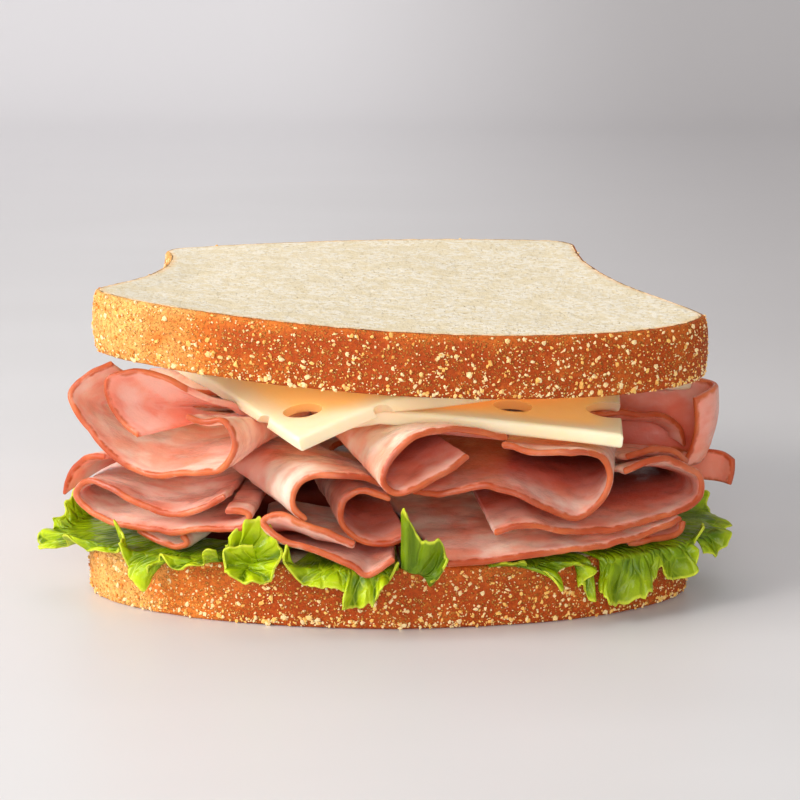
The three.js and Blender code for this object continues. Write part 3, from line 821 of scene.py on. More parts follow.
@dataclass(frozen=True)
class LeafFinish:
    """Fresh leaf: a light frill, a green blade and pale veins.

    Attributes:
        vein_net: the distance between veins, in mm.
        vein_stretch: how the net is drawn out towards the hem.
        frill_band: where the light frill starts and is full, in mm from the hem.
        hem_band: the same for its pale border.
    """

    frill: Colour = linear(198, 216, 16)
    blade: Colour = linear(144, 172, 2)
    dark: Colour = linear(80, 110, 0)
    vein: Colour = linear(206, 214, 60)
    vein_net: float = 3.4
    vein_stretch: tuple[float, float, float] = (1.0, 0.6, 1.0)
    frill_band: tuple[float, float] = (6.0, 0.4)
    hem_band: tuple[float, float] = (0.75, 0.25)

    def material(self) -> bpy.types.Material:
        """Builds it. The frill follows the mark hem and the veins branch along cloth. Painted
        shade darkens the folds where hollow is large, and painted light lightens them where it is
        negative.

        Returns:
            The material.
        """
        bowl = Recipe("lettuce")
        cloth, hem, hollow = bowl.mark("cloth", "Vector"), bowl.mark("hem"), bowl.mark("hollow")
        wander = bowl.times(bowl.noise(5.0, 2.0, at=cloth), 3.0)
        shift = bowl.vector_math("SCALE", (1.0, 1.0, 0.0), wander)
        bent = bowl.stretch(bowl.vector_math("ADD", cloth, shift), self.vein_stretch)
        net = bowl.cells(self.vein_net, "DISTANCE_TO_EDGE", at=bent)
        patches = bowl.grade(bowl.noise(6.0, 3.0, 0.55), 0.35, 0.68)
        colour = bowl.blend(patches, self.dark, self.blade)
        for share, tint in (
            (bowl.grade(hem, *self.frill_band, 0.0, 0.65), self.frill),
            # Painted shade in the hollows of the folds, painted light on their ridges.
            (bowl.grade(hollow, 0.02, 0.4, 0.0, 0.85), self.dark),
            (bowl.grade(hollow, -0.05, -0.4, 0.0, 0.5), self.frill),
            (bowl.times(bowl.grade(net, 0.07, 0.0), 0.22), self.vein),
            # Painted shade over whole leaves that lie in shade.
            (bowl.mark("tone_and_shade"), self.dark),
            (bowl.grade(hem, *self.hem_band, 0.0, 0.75), self.vein),
        ):
            colour = bowl.blend(share, colour, tint)
        height = bowl.plus(bowl.grade(net, 0.0, 0.32), bowl.times(bowl.noise(0.8), 0.35))
        return bowl.finish(
            base_color=colour,
            roughness=0.32,
            specular=0.25,
            subsurface_weight=0.2,
            subsurface_radius=(0.6, 1.0, 0.05),
            subsurface_scale=1.0 * MM,
            normal=bowl.bump(height, 0.32),
        )


def dress(piece: bpy.types.Object, finish: bpy.types.Material, slot: Slot, *nodes: str) -> None:
    """Gives a piece its material and its body, and hides the parts of the nodes that it stands
    for.

    Args:
        piece: the piece.
        finish: its material.
        slot: the record's material slot; not used.
        nodes: the nodes that it replaces, if any.
    """
    piece.data.materials.append(finish)
    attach(piece, "root")
    if nodes:
        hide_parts(*nodes)
    LOG.info("%s: %d faces", piece.name, len(piece.data.polygons))


# ------------------------------------------------------------------ bread


@dataclass(frozen=True)
class Loaf:
    """The outline of a slice and its thickness, in millimetres, as in the part.

    Attributes:
        thickness: of the slice.
        half_width: half its width at the widest place.
        crown: how far the crown rises in front of that place.
        crown_power: below 1 squarer and above 1 more pointed than an ellipse.
        widest_at: y of the widest place.
        waist: half its width behind the shoulders.
        flare: how much wider its foot is again.
        back: y of the foot.
        back_bow: how far the foot bulges.
        corner_radius: of the foot's corners.
        crust_bulge: how far the crust bulges between the cut faces.
        steps: points on the crown and on either side.
    """

    thickness: float = 14.0
    half_width: float = 67.5
    crown: float = 28.5
    crown_power: float = 1.08
    widest_at: float = -28.3
    waist: float = 49.5
    flare: float = 2.0
    back: float = 54.5
    back_bow: float = 1.8
    corner_radius: float = 6.0
    crust_bulge: float = 0.9
    steps: int = 160

    def half_width_behind(self, share: Grid) -> Grid:
        """Half the width from the widest place, at share 0, to the foot, at share 1."""
        shoulder = np.exp(-((share / 0.4) ** 1.48))
        return self.waist + (self.half_width - self.waist) * shoulder + self.flare * share**6

    def bulge_inset(self, height: Grid) -> Grid:
        """How far the crust lies inside the outline: crust_bulge |2 height/thickness - 1|³."""
        return self.crust_bulge * np.abs(2 * height / self.thickness - 1) ** 3

    def outline(self, count: int) -> Grid:
        """Points at even distances round the slice, counter-clockwise from the front middle.

        The crown is x = half_width sin^p, y = widest_at - crown cos^p. Behind it come the
        shoulders of half_width_behind, a round corner, and a parabola across the foot.

        Args:
            count: how many points.

        Returns:
            Their x and y, in mm.
        """
        turn = np.linspace(0.0, np.pi / 2, self.steps)
        crown_x = self.half_width * np.sin(turn) ** self.crown_power
        crown_y = self.widest_at - self.crown * np.abs(np.cos(turn)) ** self.crown_power
        share = np.linspace(0.0, 1.0, self.steps)[1:]
        side_end = self.back - self.corner_radius
        side_x, side_y = self.half_width_behind(share), mix(self.widest_at, side_end, share)
        corner_x = side_x[-1] - self.corner_radius
        turn = np.radians(np.linspace(0.0, 90.0, 24))[1:]
        corner = np.stack([np.cos(turn), np.sin(turn)], axis=-1) * self.corner_radius
        corner += [corner_x, side_end]
        across = np.linspace(1.0, 0.0, 40)[1:]
        foot = np.stack([across * corner_x, self.back + self.back_bow * (1 - across**2)], axis=-1)
        crown = np.stack([crown_x, crown_y], axis=-1)
        right = np.vstack([crown, np.stack([side_x, side_y], axis=-1), corner, foot])
        left = right[-2:0:-1] * [-1.0, 1.0]
        ring = np.vstack([right, left, right[:1]])
        spans = np.concatenate([[0], np.cumsum(np.linalg.norm(np.diff(ring, axis=0), axis=1))])
        where = np.linspace(0.0, spans[-1], count, endpoint=False)
        return np.stack([np.interp(where, spans, ring[:, axis]) for axis in (0, 1)], axis=-1)

    def edge_radius(self, angle: Grid) -> Grid:
        """The distance from the middle to the outline.

        Args:
            angle: directions in radians from +X.

        Returns:
            The distance in each direction, in mm.
        """
        ring = self.outline(1200)
        around = np.arctan2(ring[:, 1], ring[:, 0])
        order = np.argsort(around)
        wrapped = np.mod(angle + np.pi, 2 * np.pi) - np.pi
        radii = np.linalg.norm(ring, axis=1)[order]
        return np.interp(wrapped, around[order], radii, period=2 * np.pi)


@dataclass(frozen=True)
class UpperSlope:
    """How the upper slice lies on the pile: its underside's height and its bends.

    Attributes:
        underside: its height above the table at the hinge.
        shift: how far the slice lies to the right.
        skew: how far it leans to the left for each mm behind its widest place.
        roll_slope: how its height goes with x.
        twist: how it goes with x y.
        back_slope: how it goes with y behind the hinge.
        hinge: y of that line.
        bow: how much its middle rises behind and sinks in front.
    """

    underside: float = 53.1
    shift: float = 2.65
    skew: float = 0.1
    roll_slope: float = -0.0231
    twist: float = 0.0007
    back_slope: float = -0.035
    hinge: float = -56.0
    bow: float = 0.031

    def height(self, x: Grid, y: Grid) -> Grid:
        """The underside's height: a sloping plane, a twist in x·y, and a hollow middle.

        Args:
            x: where, in mm.
            y: where, in mm.

        Returns:
            The heights, in mm.
        """
        across = x - self.shift
        slopes = self.roll_slope * across + self.twist * across * y
        slopes = slopes + self.back_slope * (y - self.hinge)
        return self.underside + slopes + self.bow * y * (1 - (across / LOAF.half_width) ** 2)

    def place(self, points: Grid) -> Grid:
        """Moves a flat slice's points to where the upper slice lies.

        Args:
            points: the points, with x, y and z along the last axis.

        Returns:
            The moved points.
        """
        x, y, z = points[..., 0], points[..., 1], points[..., 2]
        skewed = x + self.shift - self.skew * np.maximum(y - LOAF.widest_at, 0)
        return np.stack([skewed, y, self.height(skewed, y) + z], axis=-1)

    def inside(self, x: Grid, y: Grid) -> Grid:
        """How far a place lies inside the upper slice's outline, in mm."""
        own_x = x - self.shift + self.skew * np.maximum(y - LOAF.widest_at, 0)
        return LOAF.edge_radius(np.arctan2(y, own_x)) - np.hypot(own_x, y)


def lie_flat(points: Grid) -> Grid:
    """Leaves the lower slice's points where they are."""
    return points


LOAF = Loaf()
UPPER = UpperSlope()


@dataclass(frozen=True)
class Slice:
    """One slice of bread, with its crumb and its crust, and the grits that stick to it.

    Attributes:
        node: the node that it stands for.
        place: moves the flat slice's points to where it lies.
        seed: for its crumb and grits.
        shown_top: whether it is the upper slice, whose top is on view and gets the finer crumb.
            The other's underside lies flat on the table, and its top gets dark red painted shade
            under the pile.
        grits: how many grits the crust carries.
        around: how many points go round it.
        edge: the radius between crust and cut face.
        grit_flatness: how flat the grits lie against the crust.
    """

    node: str
    place: Callable[[Grid], Grid]
    seed: int
    shown_top: bool
    grits: int = 6200
    around: int = 640
    edge: float = 0.7
    grit_flatness: float = 0.62

    def rings(self) -> tuple[Grid, Grid, Grid]:
        """The slice's section, from the middle of its lower face up the crust to the other.

        Returns:
            For each ring its share of the outline (1 on the crust), its inset from the outline in
            mm, and its height.
        """
        thickness, edge = LOAF.thickness, self.edge
        below = np.linspace(0.02, 0.99, 26)
        above = np.linspace(0.99, 0.012, 104 if self.shown_top else 26)
        turn = np.radians(np.linspace(0.0, 90.0, 5))
        rise, rounding = edge * (1 - np.cos(turn)), edge * (1 - np.sin(turn))
        wall = np.linspace(edge, thickness - edge, 24)[1:-1]
        share = np.concatenate([below, np.ones(2 * len(turn) + len(wall)), above])
        levels = [0 * below, rise, wall, thickness - rise[::-1], 0 * above + thickness]
        height = np.concatenate(levels)
        inset = np.concatenate([0 * below, rounding, 0 * wall, rounding[::-1], 0 * above])
        return share, inset + LOAF.bulge_inset(height), height

    def build(self) -> bpy.types.Object:
        """Makes the slice: outline rings carried along the section, and a pole in the middle of
        each face.

        Returns:
            The object.
        """
        share, inset, height = self.rings()
        ring = LOAF.outline(self.around)
        reach = np.linalg.norm(ring, axis=1)[None, :]
        flat = np.empty((len(share), self.around, 3))
        flat[..., :2] = ring[None] * (share[:, None] * (1 - inset[:, None] / reach))[..., None]
        flat[..., 2] = height[:, None]
        self.roughen(flat, share, height, reach)
        points = np.vstack([flat.reshape(-1, 3), flat[[0, -1]].mean(axis=1)])
        faces = closed_rings(len(share), self.around)
        marks = self.marks(points, share, height, reach)
        return make_piece(self.node, self.place(points), faces, marks)

    def roughen(self, flat: Grid, share: Grid, height: Grid, reach: Grid) -> None:
        """Pushes the crust out by soft noise, and moves the cut faces by fine noise and by a
        broad swell away from their borders.

        Args:
            flat: the rings' points, which are changed.
            share: each ring's share of the outline.
            height: each ring's height.
            reach: the outline's distance from the middle.
        """
        dents = 0.22 * value_noise(flat, 7.0, self.seed)
        dents += 0.1 * value_noise(flat, 1.7, self.seed + 1) - 0.1
        crust = smooth_step(share, 0.985, 1.0)[:, None]
        flat[..., :2] *= (1 + crust * dents / reach)[..., None]
        pores = 0.05 * value_noise(flat, 2.6, self.seed + 2)
        pores += 0.05 * value_noise(flat, 1.3, self.seed + 3) - 0.15
        swell = 0.5 * value_noise(flat, 24.0, self.seed + 4) - 0.2
        swell *= smooth_step(1 - share, 0.02, 0.2)[:, None]
        up = height - LOAF.thickness / 2
        on_face = smooth_step(np.abs(up), LOAF.thickness / 2 - 0.6, LOAF.thickness / 2)
        free = (up > 0) | self.shown_top
        flat[..., 2] += (np.sign(up) * on_face * free)[:, None] * (pores + swell)

    def marks(self, points: Grid, share: Grid, height: Grid, reach: Grid) -> dict[str, Grid]:
        """The values for the material, with the two poles last.

        Args:
            points: the flat slice's points.
            share: each ring's share of the outline.
            height: each ring's height.
            reach: the outline's distance from the middle.

        Returns:
            Skin, mm down the crust and negative on the cut faces; baked, from 0 pale to 1 brown;
            and the pile's painted shade, 1 where it covers the lower slice's crumb.
        """
        inward = (1 - share)[:, None] * reach + 0.45
        depth = np.minimum(height, LOAF.thickness - height)[:, None]
        skin = np.where(share[:, None] < 1.0, -inward, depth - 0.3)
        # Painted shade on the lower slice's top, from 7 to 14 mm inside its edge, under the pile.
        under_pile = smooth_step(inward, 7.0, 14.0) * (height > LOAF.thickness / 2)[:, None]
        return {
            "skin": np.append(skin, [-9.0, -9.0]),
            "baked": self.baked(points),
            "pile_shade": np.append(under_pile, [0.0, 1.0]) * (not self.shown_top),
        }

    def baked(self, points: Grid) -> Grid:
        """How brown the crust is: pale at the left end, deep in the middle, and lighter along
        its upper border.

        Args:
            points: the flat slice's points.

        Returns:
            From 0 to 1 for each point.
        """
        x, z = points[:, 0], points[:, 2] / LOAF.thickness
        across = smooth_step(x, -70.0, -18.0)
        return np.clip(0.08 + 0.86 * across - 0.22 * smooth_step(z, 0.72, 1.0), 0, 1)

    def grit_places(self, draw: np.random.Generator) -> tuple[Grid, Grid, Grid, Grid]:
        """Sows the grits over the crust: more of them, and larger ones, in its lower part.

        Args:
            draw: the seeded generator.

        Returns:
            Their places on the flat slice, the crust's outward direction there, their radii and
            their tones.
        """
        many = self.grits
        ring = LOAF.outline(2400)
        at = draw.integers(0, len(ring), many)
        ahead = ring[(at + 1) % len(ring)] - ring[at - 1]
        outward = np.stack([ahead[:, 1], -ahead[:, 0], 0 * ahead[:, 0]], axis=-1)
        outward /= np.linalg.norm(outward, axis=1, keepdims=True)
        low_row = draw.random(many) < 0.1
        in_row = 0.035 + 0.07 * draw.random(many)
        share = np.where(low_row, in_row, draw.random(many) ** 1.22)
        height = LOAF.thickness * mix(0.03, 0.965, share)
        inset = LOAF.bulge_inset(height)
        places = np.column_stack([ring[at] - outward[:, :2] * inset[:, None], height])
        radii = 0.15 + 0.42 * draw.random(many) ** 4.2 + 0.05 * low_row
        pale = smooth_step(places[:, 0], -66.0, -20.0)
        tones = draw.random(many) * mix(1.1, 0.82, pale)
        return places, outward, radii, tones

    def build_grits(self) -> bpy.types.Object:
        """Makes the grits: each an icosahedron with jittered corners, squashed against the crust.

        Returns:
            One object for all of them, with the mark tone.
        """
        draw = np.random.default_rng(self.seed)
        places, outward, radii, tones = self.grit_places(draw)
        golden = (1 + math.sqrt(5)) / 2
        seeds = [(0, 1, golden), (0, 1, -golden), (0, -1, golden), (0, -1, -golden)]
        turns = ((0, 1, 2), (1, 2, 0), (2, 0, 1))
        corners = np.array([[seed[axis] for axis in turn] for seed in seeds for turn in turns])
        corners = corners / np.linalg.norm(corners[0])
        faces = convex_faces(corners)
        count, many = self.grits, len(corners)
        shape = corners[None] * draw.uniform(0.55, 1.35, (count, many, 1))
        shape = shape * draw.uniform(0.6, 1.4, (count, 1, 3))
        spin = draw.uniform(0, 2 * np.pi, (count, 1))
        aside = shape[..., 0] * np.cos(spin) - shape[..., 1] * np.sin(spin)
        upward = shape[..., 0] * np.sin(spin) + shape[..., 1] * np.cos(spin)
        turned = np.stack([aside, upward, shape[..., 2] * self.grit_flatness], axis=-1)
        turned *= radii[:, None, None]
        along = np.stack([-outward[:, 1], outward[:, 0], 0 * outward[:, 0]], axis=-1)
        flat = places[:, None] + turned[..., :1] * along[:, None]
        flat = flat + turned[..., 1:2] * np.array([0.0, 0.0, 1.0])
        flat = flat + turned[..., 2:3] * outward[:, None]
        flat[..., 2] = np.maximum(flat[..., 2], 0.02)
        all_faces = (faces[None] + many * np.arange(count)[:, None, None]).reshape(-1, 3)
        name = self.node.replace("bread", "cornmeal")
        points, marks = self.place(flat.reshape(-1, 3)), {"tone_and_shade": np.repeat(tones, many)}
        piece = make_piece(name, points, [all_faces], marks)
        piece.data.shade_flat()
        return piece


def convex_faces(corners: Grid) -> Indices:
    """The faces of a regular icosahedron, as triples of corners, turned outward.

    Args:
        corners: its twelve corners.

    Returns:
        Twenty triangles of corner numbers.
    """
    gaps = np.linalg.norm(corners[:, None] - corners[None], axis=-1)
    near = gaps < 1.3 * gaps[gaps > 1e-6].min()
    i, j, k = np.meshgrid(*[np.arange(len(corners))] * 3, indexing="ij")
    linked = near[i, j] & near[j, k] & near[i, k] & (i < j) & (j < k)
    faces = np.stack([i[linked], j[linked], k[linked]], axis=-1)
    a, b, c = (corners[faces[:, n]] for n in range(3))
    inward = (np.cross(b - a, c - a) * (a + b + c)).sum(axis=1) < 0
    faces[inward] = faces[inward][:, ::-1]
    return faces


@dataclass
class Bread:
    """The two slices."""

    slices: tuple[Slice, ...] = (
        Slice("bread_lower", lie_flat, 3, shown_top=False),
        Slice("bread_upper", UPPER.place, 8, shown_top=True),
    )

    def build(self) -> None:
        """Makes and dresses the slices and their grits."""
        crust, meal = BreadFinish().material(), GritFinish().material()
        for each in self.slices:
            dress(each.build(), crust, Slot.BREAD, each.node)
            dress(each.build_grits(), meal, Slot.BREAD)


# ------------------------------------------------------------------ cheese


def from_corner(
    x: Grid, y: Grid, corner: tuple[float, float], turn: float
) -> tuple[Grid, Grid]:
    """Measures places from a corner, along an edge and square to it.

    Args:
        x: where, in mm.
        y: where, in mm.
        corner: the corner.
        turn: the edge's direction, in radians.

    Returns:
        The distances along the edge, and those square to it.
    """
    dx, dy = x - corner[0], y - corner[1]
    along = dx * math.cos(turn) + dy * math.sin(turn)
    return along, dy * math.cos(turn) - dx * math.sin(turn)


@dataclass(frozen=True)
class Drape:
    """How the upper slice of cheese hangs, as in the part: from a crease down to its front left
    corner, a little along its front edge, and at its right corner.

    Attributes:
        corner: its front left corner.
        turn: the direction of its front edge, in radians.
        depth: how far the corner hangs.
        fold_at: how far the crease lies from it.
        hem: how far the front edge hangs beyond the crease.
        lift: how much less it hangs for each mm inward.
        right_depth: how far the right corner sags.
    """

    corner: tuple[float, float] = (-18.3, -61.3)
    turn: float = math.radians(28.5)
    depth: float = 7.5
    fold_at: float = 22.0
    hem: float = 0.9
    lift: float = 0.0072
    right_depth: float = 3.0

    def depth_at(self, x: Grid, y: Grid) -> Grid:
        """How far below the bread the slice hangs: depth (1 - u/fold_at)^1.1 and the hem beyond
        the crease, less by lift each mm inward, and the right corner's own sag.

        Args:
            x: where, in mm.
            y: where, in mm.

        Returns:
            The depths, in mm.
        """
        u, v = from_corner(x, y, self.corner, self.turn)
        edge = self.depth * np.maximum(1 - u / self.fold_at, 0) ** 1.1
        edge = edge + self.hem * (1 - smooth_step(u, 30, 58))
        inward = 1 - self.lift * np.maximum(v - 3, 0)
        right = smooth_step(u, 78, 99) * (1 - smooth_step(v, 4, 40))
        return edge * inward + self.right_depth * right


DRAPE = Drape()


@dataclass(frozen=True)
class CheeseSlice:
    """A slice of cheese under the upper bread.

    Attributes:
        node: the node that it stands for.
        corner: its front left corner.
        turn: the direction of its front edge, in radians.
        width: its size along the front edge.
        length: its size inward.
        layer: how many slices of cheese lie above it.
        sag: how far its free corner hangs besides.
        bubbles: each hole's place on the slice and radius.
        thickness: of the slice.
        gap: what is left free above it.
        edge: the radius of its rounded edges.
        lean: how far the holes lean towards the viewer for each mm that they rise.
        tallness: how much taller than wide the holes are.
        glow_margin: how far inside the bread's outline the crust's light starts.
    """

    node: str
    corner: tuple[float, float]
    turn: float
    width: float
    length: float
    layer: int
    sag: float
    bubbles: tuple[tuple[float, float, float], ...]
    thickness: float = 3.2
    gap: float = 0.6
    edge: float = 0.85
    lean: float = 1.3
    tallness: float = 1.6
    glow_margin: float = 1.0

    def middle(self, u: Grid, v: Grid) -> Grid:
        """The middle surface: a rectangle laid against the bread's underside, less its drape.

        Args:
            u: shares of its width.
            v: shares of its length.

        Returns:
            The places, in mm.
        """
        along, inward = u * self.width, v * self.length
        x = self.corner[0] + along * math.cos(self.turn) - inward * math.sin(self.turn)
        y = self.corner[1] + along * math.sin(self.turn) + inward * math.cos(self.turn)
        below = self.gap + self.thickness / 2 + self.layer * (self.thickness + self.gap)
        hang = self.sag * smooth_step(along, 18, 78) * (1 - smooth_step(inward, 4, 44))
        return np.stack([x, y, UPPER.height(x, y) - below - DRAPE.depth_at(x, y) - hang], axis=-1)

    def inside(self, x: Grid, y: Grid) -> tuple[Grid, Grid]:
        """Finds where places are, seen from above.

        Args:
            x: where, in mm.
            y: where, in mm.

        Returns:
            How far they lie inside the slice, and the height of its underside there.
        """
        u, v = from_corner(x, y, self.corner, self.turn)
        depth = np.minimum(np.minimum(u, self.width - u), np.minimum(v, self.length - v))
        under = self.middle(u / self.width, v / self.length)[..., 2] - self.thickness / 2
        return depth, under

    def build(self) -> bpy.types.Object:
        """Makes the slice and cuts its bubbles.

        Returns:
            The object, with the mark under (mm inside both its own edge and the bread's).
        """
        pitch = (1.3, 1.3)
        sheet = Sheet(self.node, self.middle, self.thickness, self.edge, pitch, self.relief)
        piece = sheet.build()
        for at_u, at_v, radius in self.bubbles:
            share = np.array([[at_u / self.width]]), np.array([[at_v / self.length]])
            self.cut(piece, self.middle(*share)[0, 0], radius)
        piece.data.set_sharp_from_angle(angle=math.radians(50))
        places = np.empty(3 * len(piece.data.vertices), np.float32)
        piece.data.vertices.foreach_get("co", places)
        x, y, _ = places.reshape(-1, 3).T.astype(float) / MM
        under = piece.data.attributes.new("under", "FLOAT", "POINT")
        depth = np.minimum(UPPER.inside(x, y) - self.glow_margin, self.inside(x, y)[0])
        under.data.foreach_set("value", depth.astype(np.float32))
        return piece

    def relief(self, places: Grid, side: int) -> Grid:
        """Gentle unevenness of the face on that side."""
        return 0.16 * value_noise(places, 11.0, 40 + side)

    def cut(self, piece: bpy.types.Object, centre: Grid, radius: float) -> None:
        """Cuts one bubble out of the slice: a tall egg that leans towards the front.

        Args:
            piece: the slice.
            centre: the bubble's middle, in mm.
            radius: its radius.
        """
        around, rings = 40, 21
        turn, rise = np.meshgrid(
            np.linspace(0, 2 * np.pi, around, endpoint=False), np.linspace(0, np.pi, rings)[1:-1]
        )
        x, z = np.sin(rise) * np.cos(turn), -self.tallness * np.cos(rise)
        ball = np.stack([x, np.sin(rise) * np.sin(turn) - self.lean * z, z], axis=-1)
        wobble = 1 + 0.05 * value_noise(ball + centre, 0.9, 5)
        top = np.array([0, -self.tallness * self.lean, self.tallness])
        points = np.vstack([(ball * wobble[..., None]).reshape(-1, 3), -top, top])
        cutter = make_piece("bubble", points * radius + centre, closed_rings(rings - 2, around))
        hole = piece.modifiers.new("bubble", "BOOLEAN")
        hole.object, hole.operation, hole.solver = cutter, "DIFFERENCE", "EXACT"
        with bpy.context.temp_override(object=piece, active_object=piece):
            bpy.ops.object.modifier_apply(modifier=hole.name)
        bpy.data.objects.remove(cutter)


UPPER_CHEESE = CheeseSlice(
    "cheese_upper",
    corner=DRAPE.corner,
    turn=DRAPE.turn,
    width=99.0,
    length=88.0,
    layer=0,
    sag=0.0,
    bubbles=((7.4, 13.4, 4.3), (-0.9, 18.0, 2.6), (19.5, -0.9, 2.4)),
)
LOWER_CHEESE = CheeseSlice(
    "cheese_lower",
    corner=(-13.0, -46.2),
    turn=math.radians(-3.5),
    width=63.0,
    length=86.0,
    layer=1,
    sag=3.8,
    bubbles=((39.3, 13.6, 4.4), (60.4, 18.2, 5.4)),
)


@dataclass
class Cheese:
    """The two slices of cheese."""

    slices: tuple[CheeseSlice, ...] = (UPPER_CHEESE, LOWER_CHEESE)

    def build(self) -> None:
        """Makes and dresses the slices."""
        finish = CheeseFinish().material()
        for each in self.slices:
            dress(each.build(), finish, Slot.CHEESE, each.node)


# ------------------------------------------------------------------ ham


HAM_THICKNESS = 1.4
HAM_EDGE = 0.62
# How far the pile's front lies from the middle, and how much it bends back to the sides.
PILE_REACH, PILE_BOW = 57.0, 24 / 68**2


def name_seed(node: str) -> int:
    """A seed for a node's noise, from the letters of its name, as in the part."""
    return sum(map(ord, node))


def press_under(places: Grid) -> Grid:
    """Lowers places that would push into the bread or the cheese that lies above them.

    Args:
        places: a slice of ham's middle surface.

    Returns:
        The lowered surface.
    """
    x, y = places[..., 0], places[..., 1]
    z = places[..., 2].copy()
    covers = [(UPPER.inside(x, y), UPPER.height(x, y))]
    covers += [each.inside(x, y) for each in (UPPER_CHEESE, LOWER_CHEESE)]
    for depth, under in covers:
        over = np.maximum(z - (under - HAM_THICKNESS / 2 - 0.25), 0.0)
        z = z - over * smooth_step(depth, -1.2, 2.0)
    return np.stack([x, y, z], axis=-1)


@dataclass(frozen=True)
class Fold:
    """A folded slice of ham whose edge shows, as in the part.

    Attributes:
        node: the node that it stands for.
        rim: the edge: x, z and how far it lies behind the pile's front.
        drift: how far it runs sideways on its way inward.
        band: the height of the band that it is pressed into.
        pinch: how much of its own height is left there.
        give: a large value presses it soon behind the rim.
        overhang: how far the rim stands past the pile's front.
        inner_end: y where it ends.
        inner: the side that lies inside its roll.
        tone_and_shade: how much painted shade reddens it, from 0 to 1.
    """

    node: str
    rim: tuple[tuple[float, ...], ...]
    drift: float
    band: float
    pinch: float
    give: float = 2.0
    overhang: float = 4.0
    inner_end: float = -7.0
    inner: int = 0
    tone_and_shade: float = 0.0

    def sheet(self) -> Sheet:
        """The fold as a sheet. From the rim it runs to y = inner_end and x + drift, while z goes
        to band + (z - centre) pinch along 1 - (1 - v)^give, and a faint waviness goes over it.

        Returns:
            The sheet.
        """
        line = [
            (x, PILE_BOW * x * x - PILE_REACH - self.overhang + (rest[0] if rest else 0.0), z)
            for x, z, *rest in self.rim
        ]
        curve = SmoothCurve(line)
        heights = [point[1] for point in self.rim]
        centre = (max(heights) + min(heights)) / 2
        seed = name_seed(self.node)

        def middle(u: Grid, v: Grid) -> Grid:
            """The middle surface from the rim inward.

            Args:
                u: shares of the rim's length.
                v: shares of the way inward.

            Returns:
                The places, in mm.
            """
            edge = curve.at(u)
            y = mix(edge[..., 1], self.inner_end, v)
            press = 1 - (1 - v) ** self.give
            pressed = self.band + (edge[..., 2] - centre) * self.pinch
            z = mix(edge[..., 2], pressed, press)
            places = np.stack([edge[..., 0] + self.drift * v, y, z], axis=-1)
            swing = 0.45 * value_noise(places, 6.5, seed)
            swing = swing + 0.2 * value_noise(places, 2.6, seed + 1)
            places[..., 2] += swing * (1 - 0.5 * v)
            places[..., 1] += 0.5 * value_noise(places, 5.0, seed + 2) * (1 - v)
            return press_under(places)

        return ham_sheet(
            self.node, middle, inner=self.inner, rind_all_round=False, tone_and_shade=self.tone_and_shade
        )


@dataclass(frozen=True)
class StandingFold:
    """A fold that stands on edge at the right of the pile.

    Attributes:
        node: the node that it stands for.
        path: its line seen from above, and how far its top lies under top.
        top: the height of its upper edge.
        foot: the height of its lower edge.
        lean: how far it bellies out.
        tone_and_shade: how much painted shade reddens it, from 0 to 1.
    """

    node: str
    path: tuple[tuple[float, float, float], ...]
    top: float
    foot: float
    lean: float
    tone_and_shade: float = 0.35

    def sheet(self) -> Sheet:
        """The fold as a sheet: the path carried down from top to foot, bellied by
        lean v (1 - v) - 0.75 lean v².

        Returns:
            The sheet.
        """
        curve = SmoothCurve(self.path)
        seed = name_seed(self.node)

        def middle(u: Grid, v: Grid) -> Grid:
            """The middle surface from the upper edge down.

            Args:
                u: shares of the path's length.
                v: shares of the way down.

            Returns:
                The places, in mm.
            """
            line = curve.at(u)
            x = line[..., 0] + self.lean * v * (1 - v) - 0.75 * self.lean * v * v
            z = mix(self.top - line[..., 2], self.foot, v)
            places = np.stack([x, line[..., 1], z], axis=-1)
            places[..., 0] += 0.4 * value_noise(places, 6.0, seed)
            return press_under(places)

        return ham_sheet(self.node, middle, inner=-1, tone_and_shade=self.tone_and_shade)


@dataclass(frozen=True)
class RearFold:
    """A flattened loop of ham that fills a wedge of the pile behind its shoulders, as in the part.

    Attributes:
        node: the node that it stands for.
        angle: the direction of the wedge's middle, in radians.
        half_width: half its width, at PILE_REACH from the middle.
        base: the height of its middle.
        mirrored: whether its opening is on the other side.
        opening: how wide the loop stands open, in radians.
        tilt: how far one side is higher.
        overhang: how far it stands past the crust.
        height: half its height.
        inner_radius: how far from the middle it ends.
    """

    node: str
    angle: float
    half_width: float
    base: float
    mirrored: bool
    opening: float
    tilt: float
    overhang: float
    height: float = 2.5
    inner_radius: float = 17.0

    def sheet(self) -> Sheet:
        """The loop as a sheet: round a flat superellipse along u, narrowing inward along v.

        Returns:
            The sheet.
        """
        seed = name_seed(self.node) + int(self.angle * 100)

        def middle(u: Grid, v: Grid) -> Grid:
            """The middle surface from the crust inward.

            Args:
                u: shares of the way round the loop.
                v: shares of the way inward.

            Returns:
                The places, in mm.
            """
            share = 1 - u if self.mirrored else u
            turn = mix(self.opening, 2 * np.pi - 0.7 * self.opening, share)
            across = signed_power(np.cos(turn), 0.8)
            rise = signed_power(np.sin(turn), 0.9) * self.height * mix(1, 0.85, v)
            side = -across if self.mirrored else across
            swing = self.half_width * side / PILE_REACH
            outer = LOAF.edge_radius(self.angle + swing) + self.overhang
            radius = mix(outer, self.inner_radius, v)
            wave = 0.9 * np.sin(5 * side + self.angle * 3) * (1 - v)
            z = self.base + self.tilt * side * (1 - v) + wave + rise
            way = self.angle + swing * mix(1, 0.96, v)
            places = np.stack([radius * np.cos(way), radius * np.sin(way), z], axis=-1)
            places[..., 2] += 0.5 * value_noise(places, 6.0, seed) * (1 - v)
            return press_under(places)

        return ham_sheet(self.node, middle, seed, (1.3, 2.0))


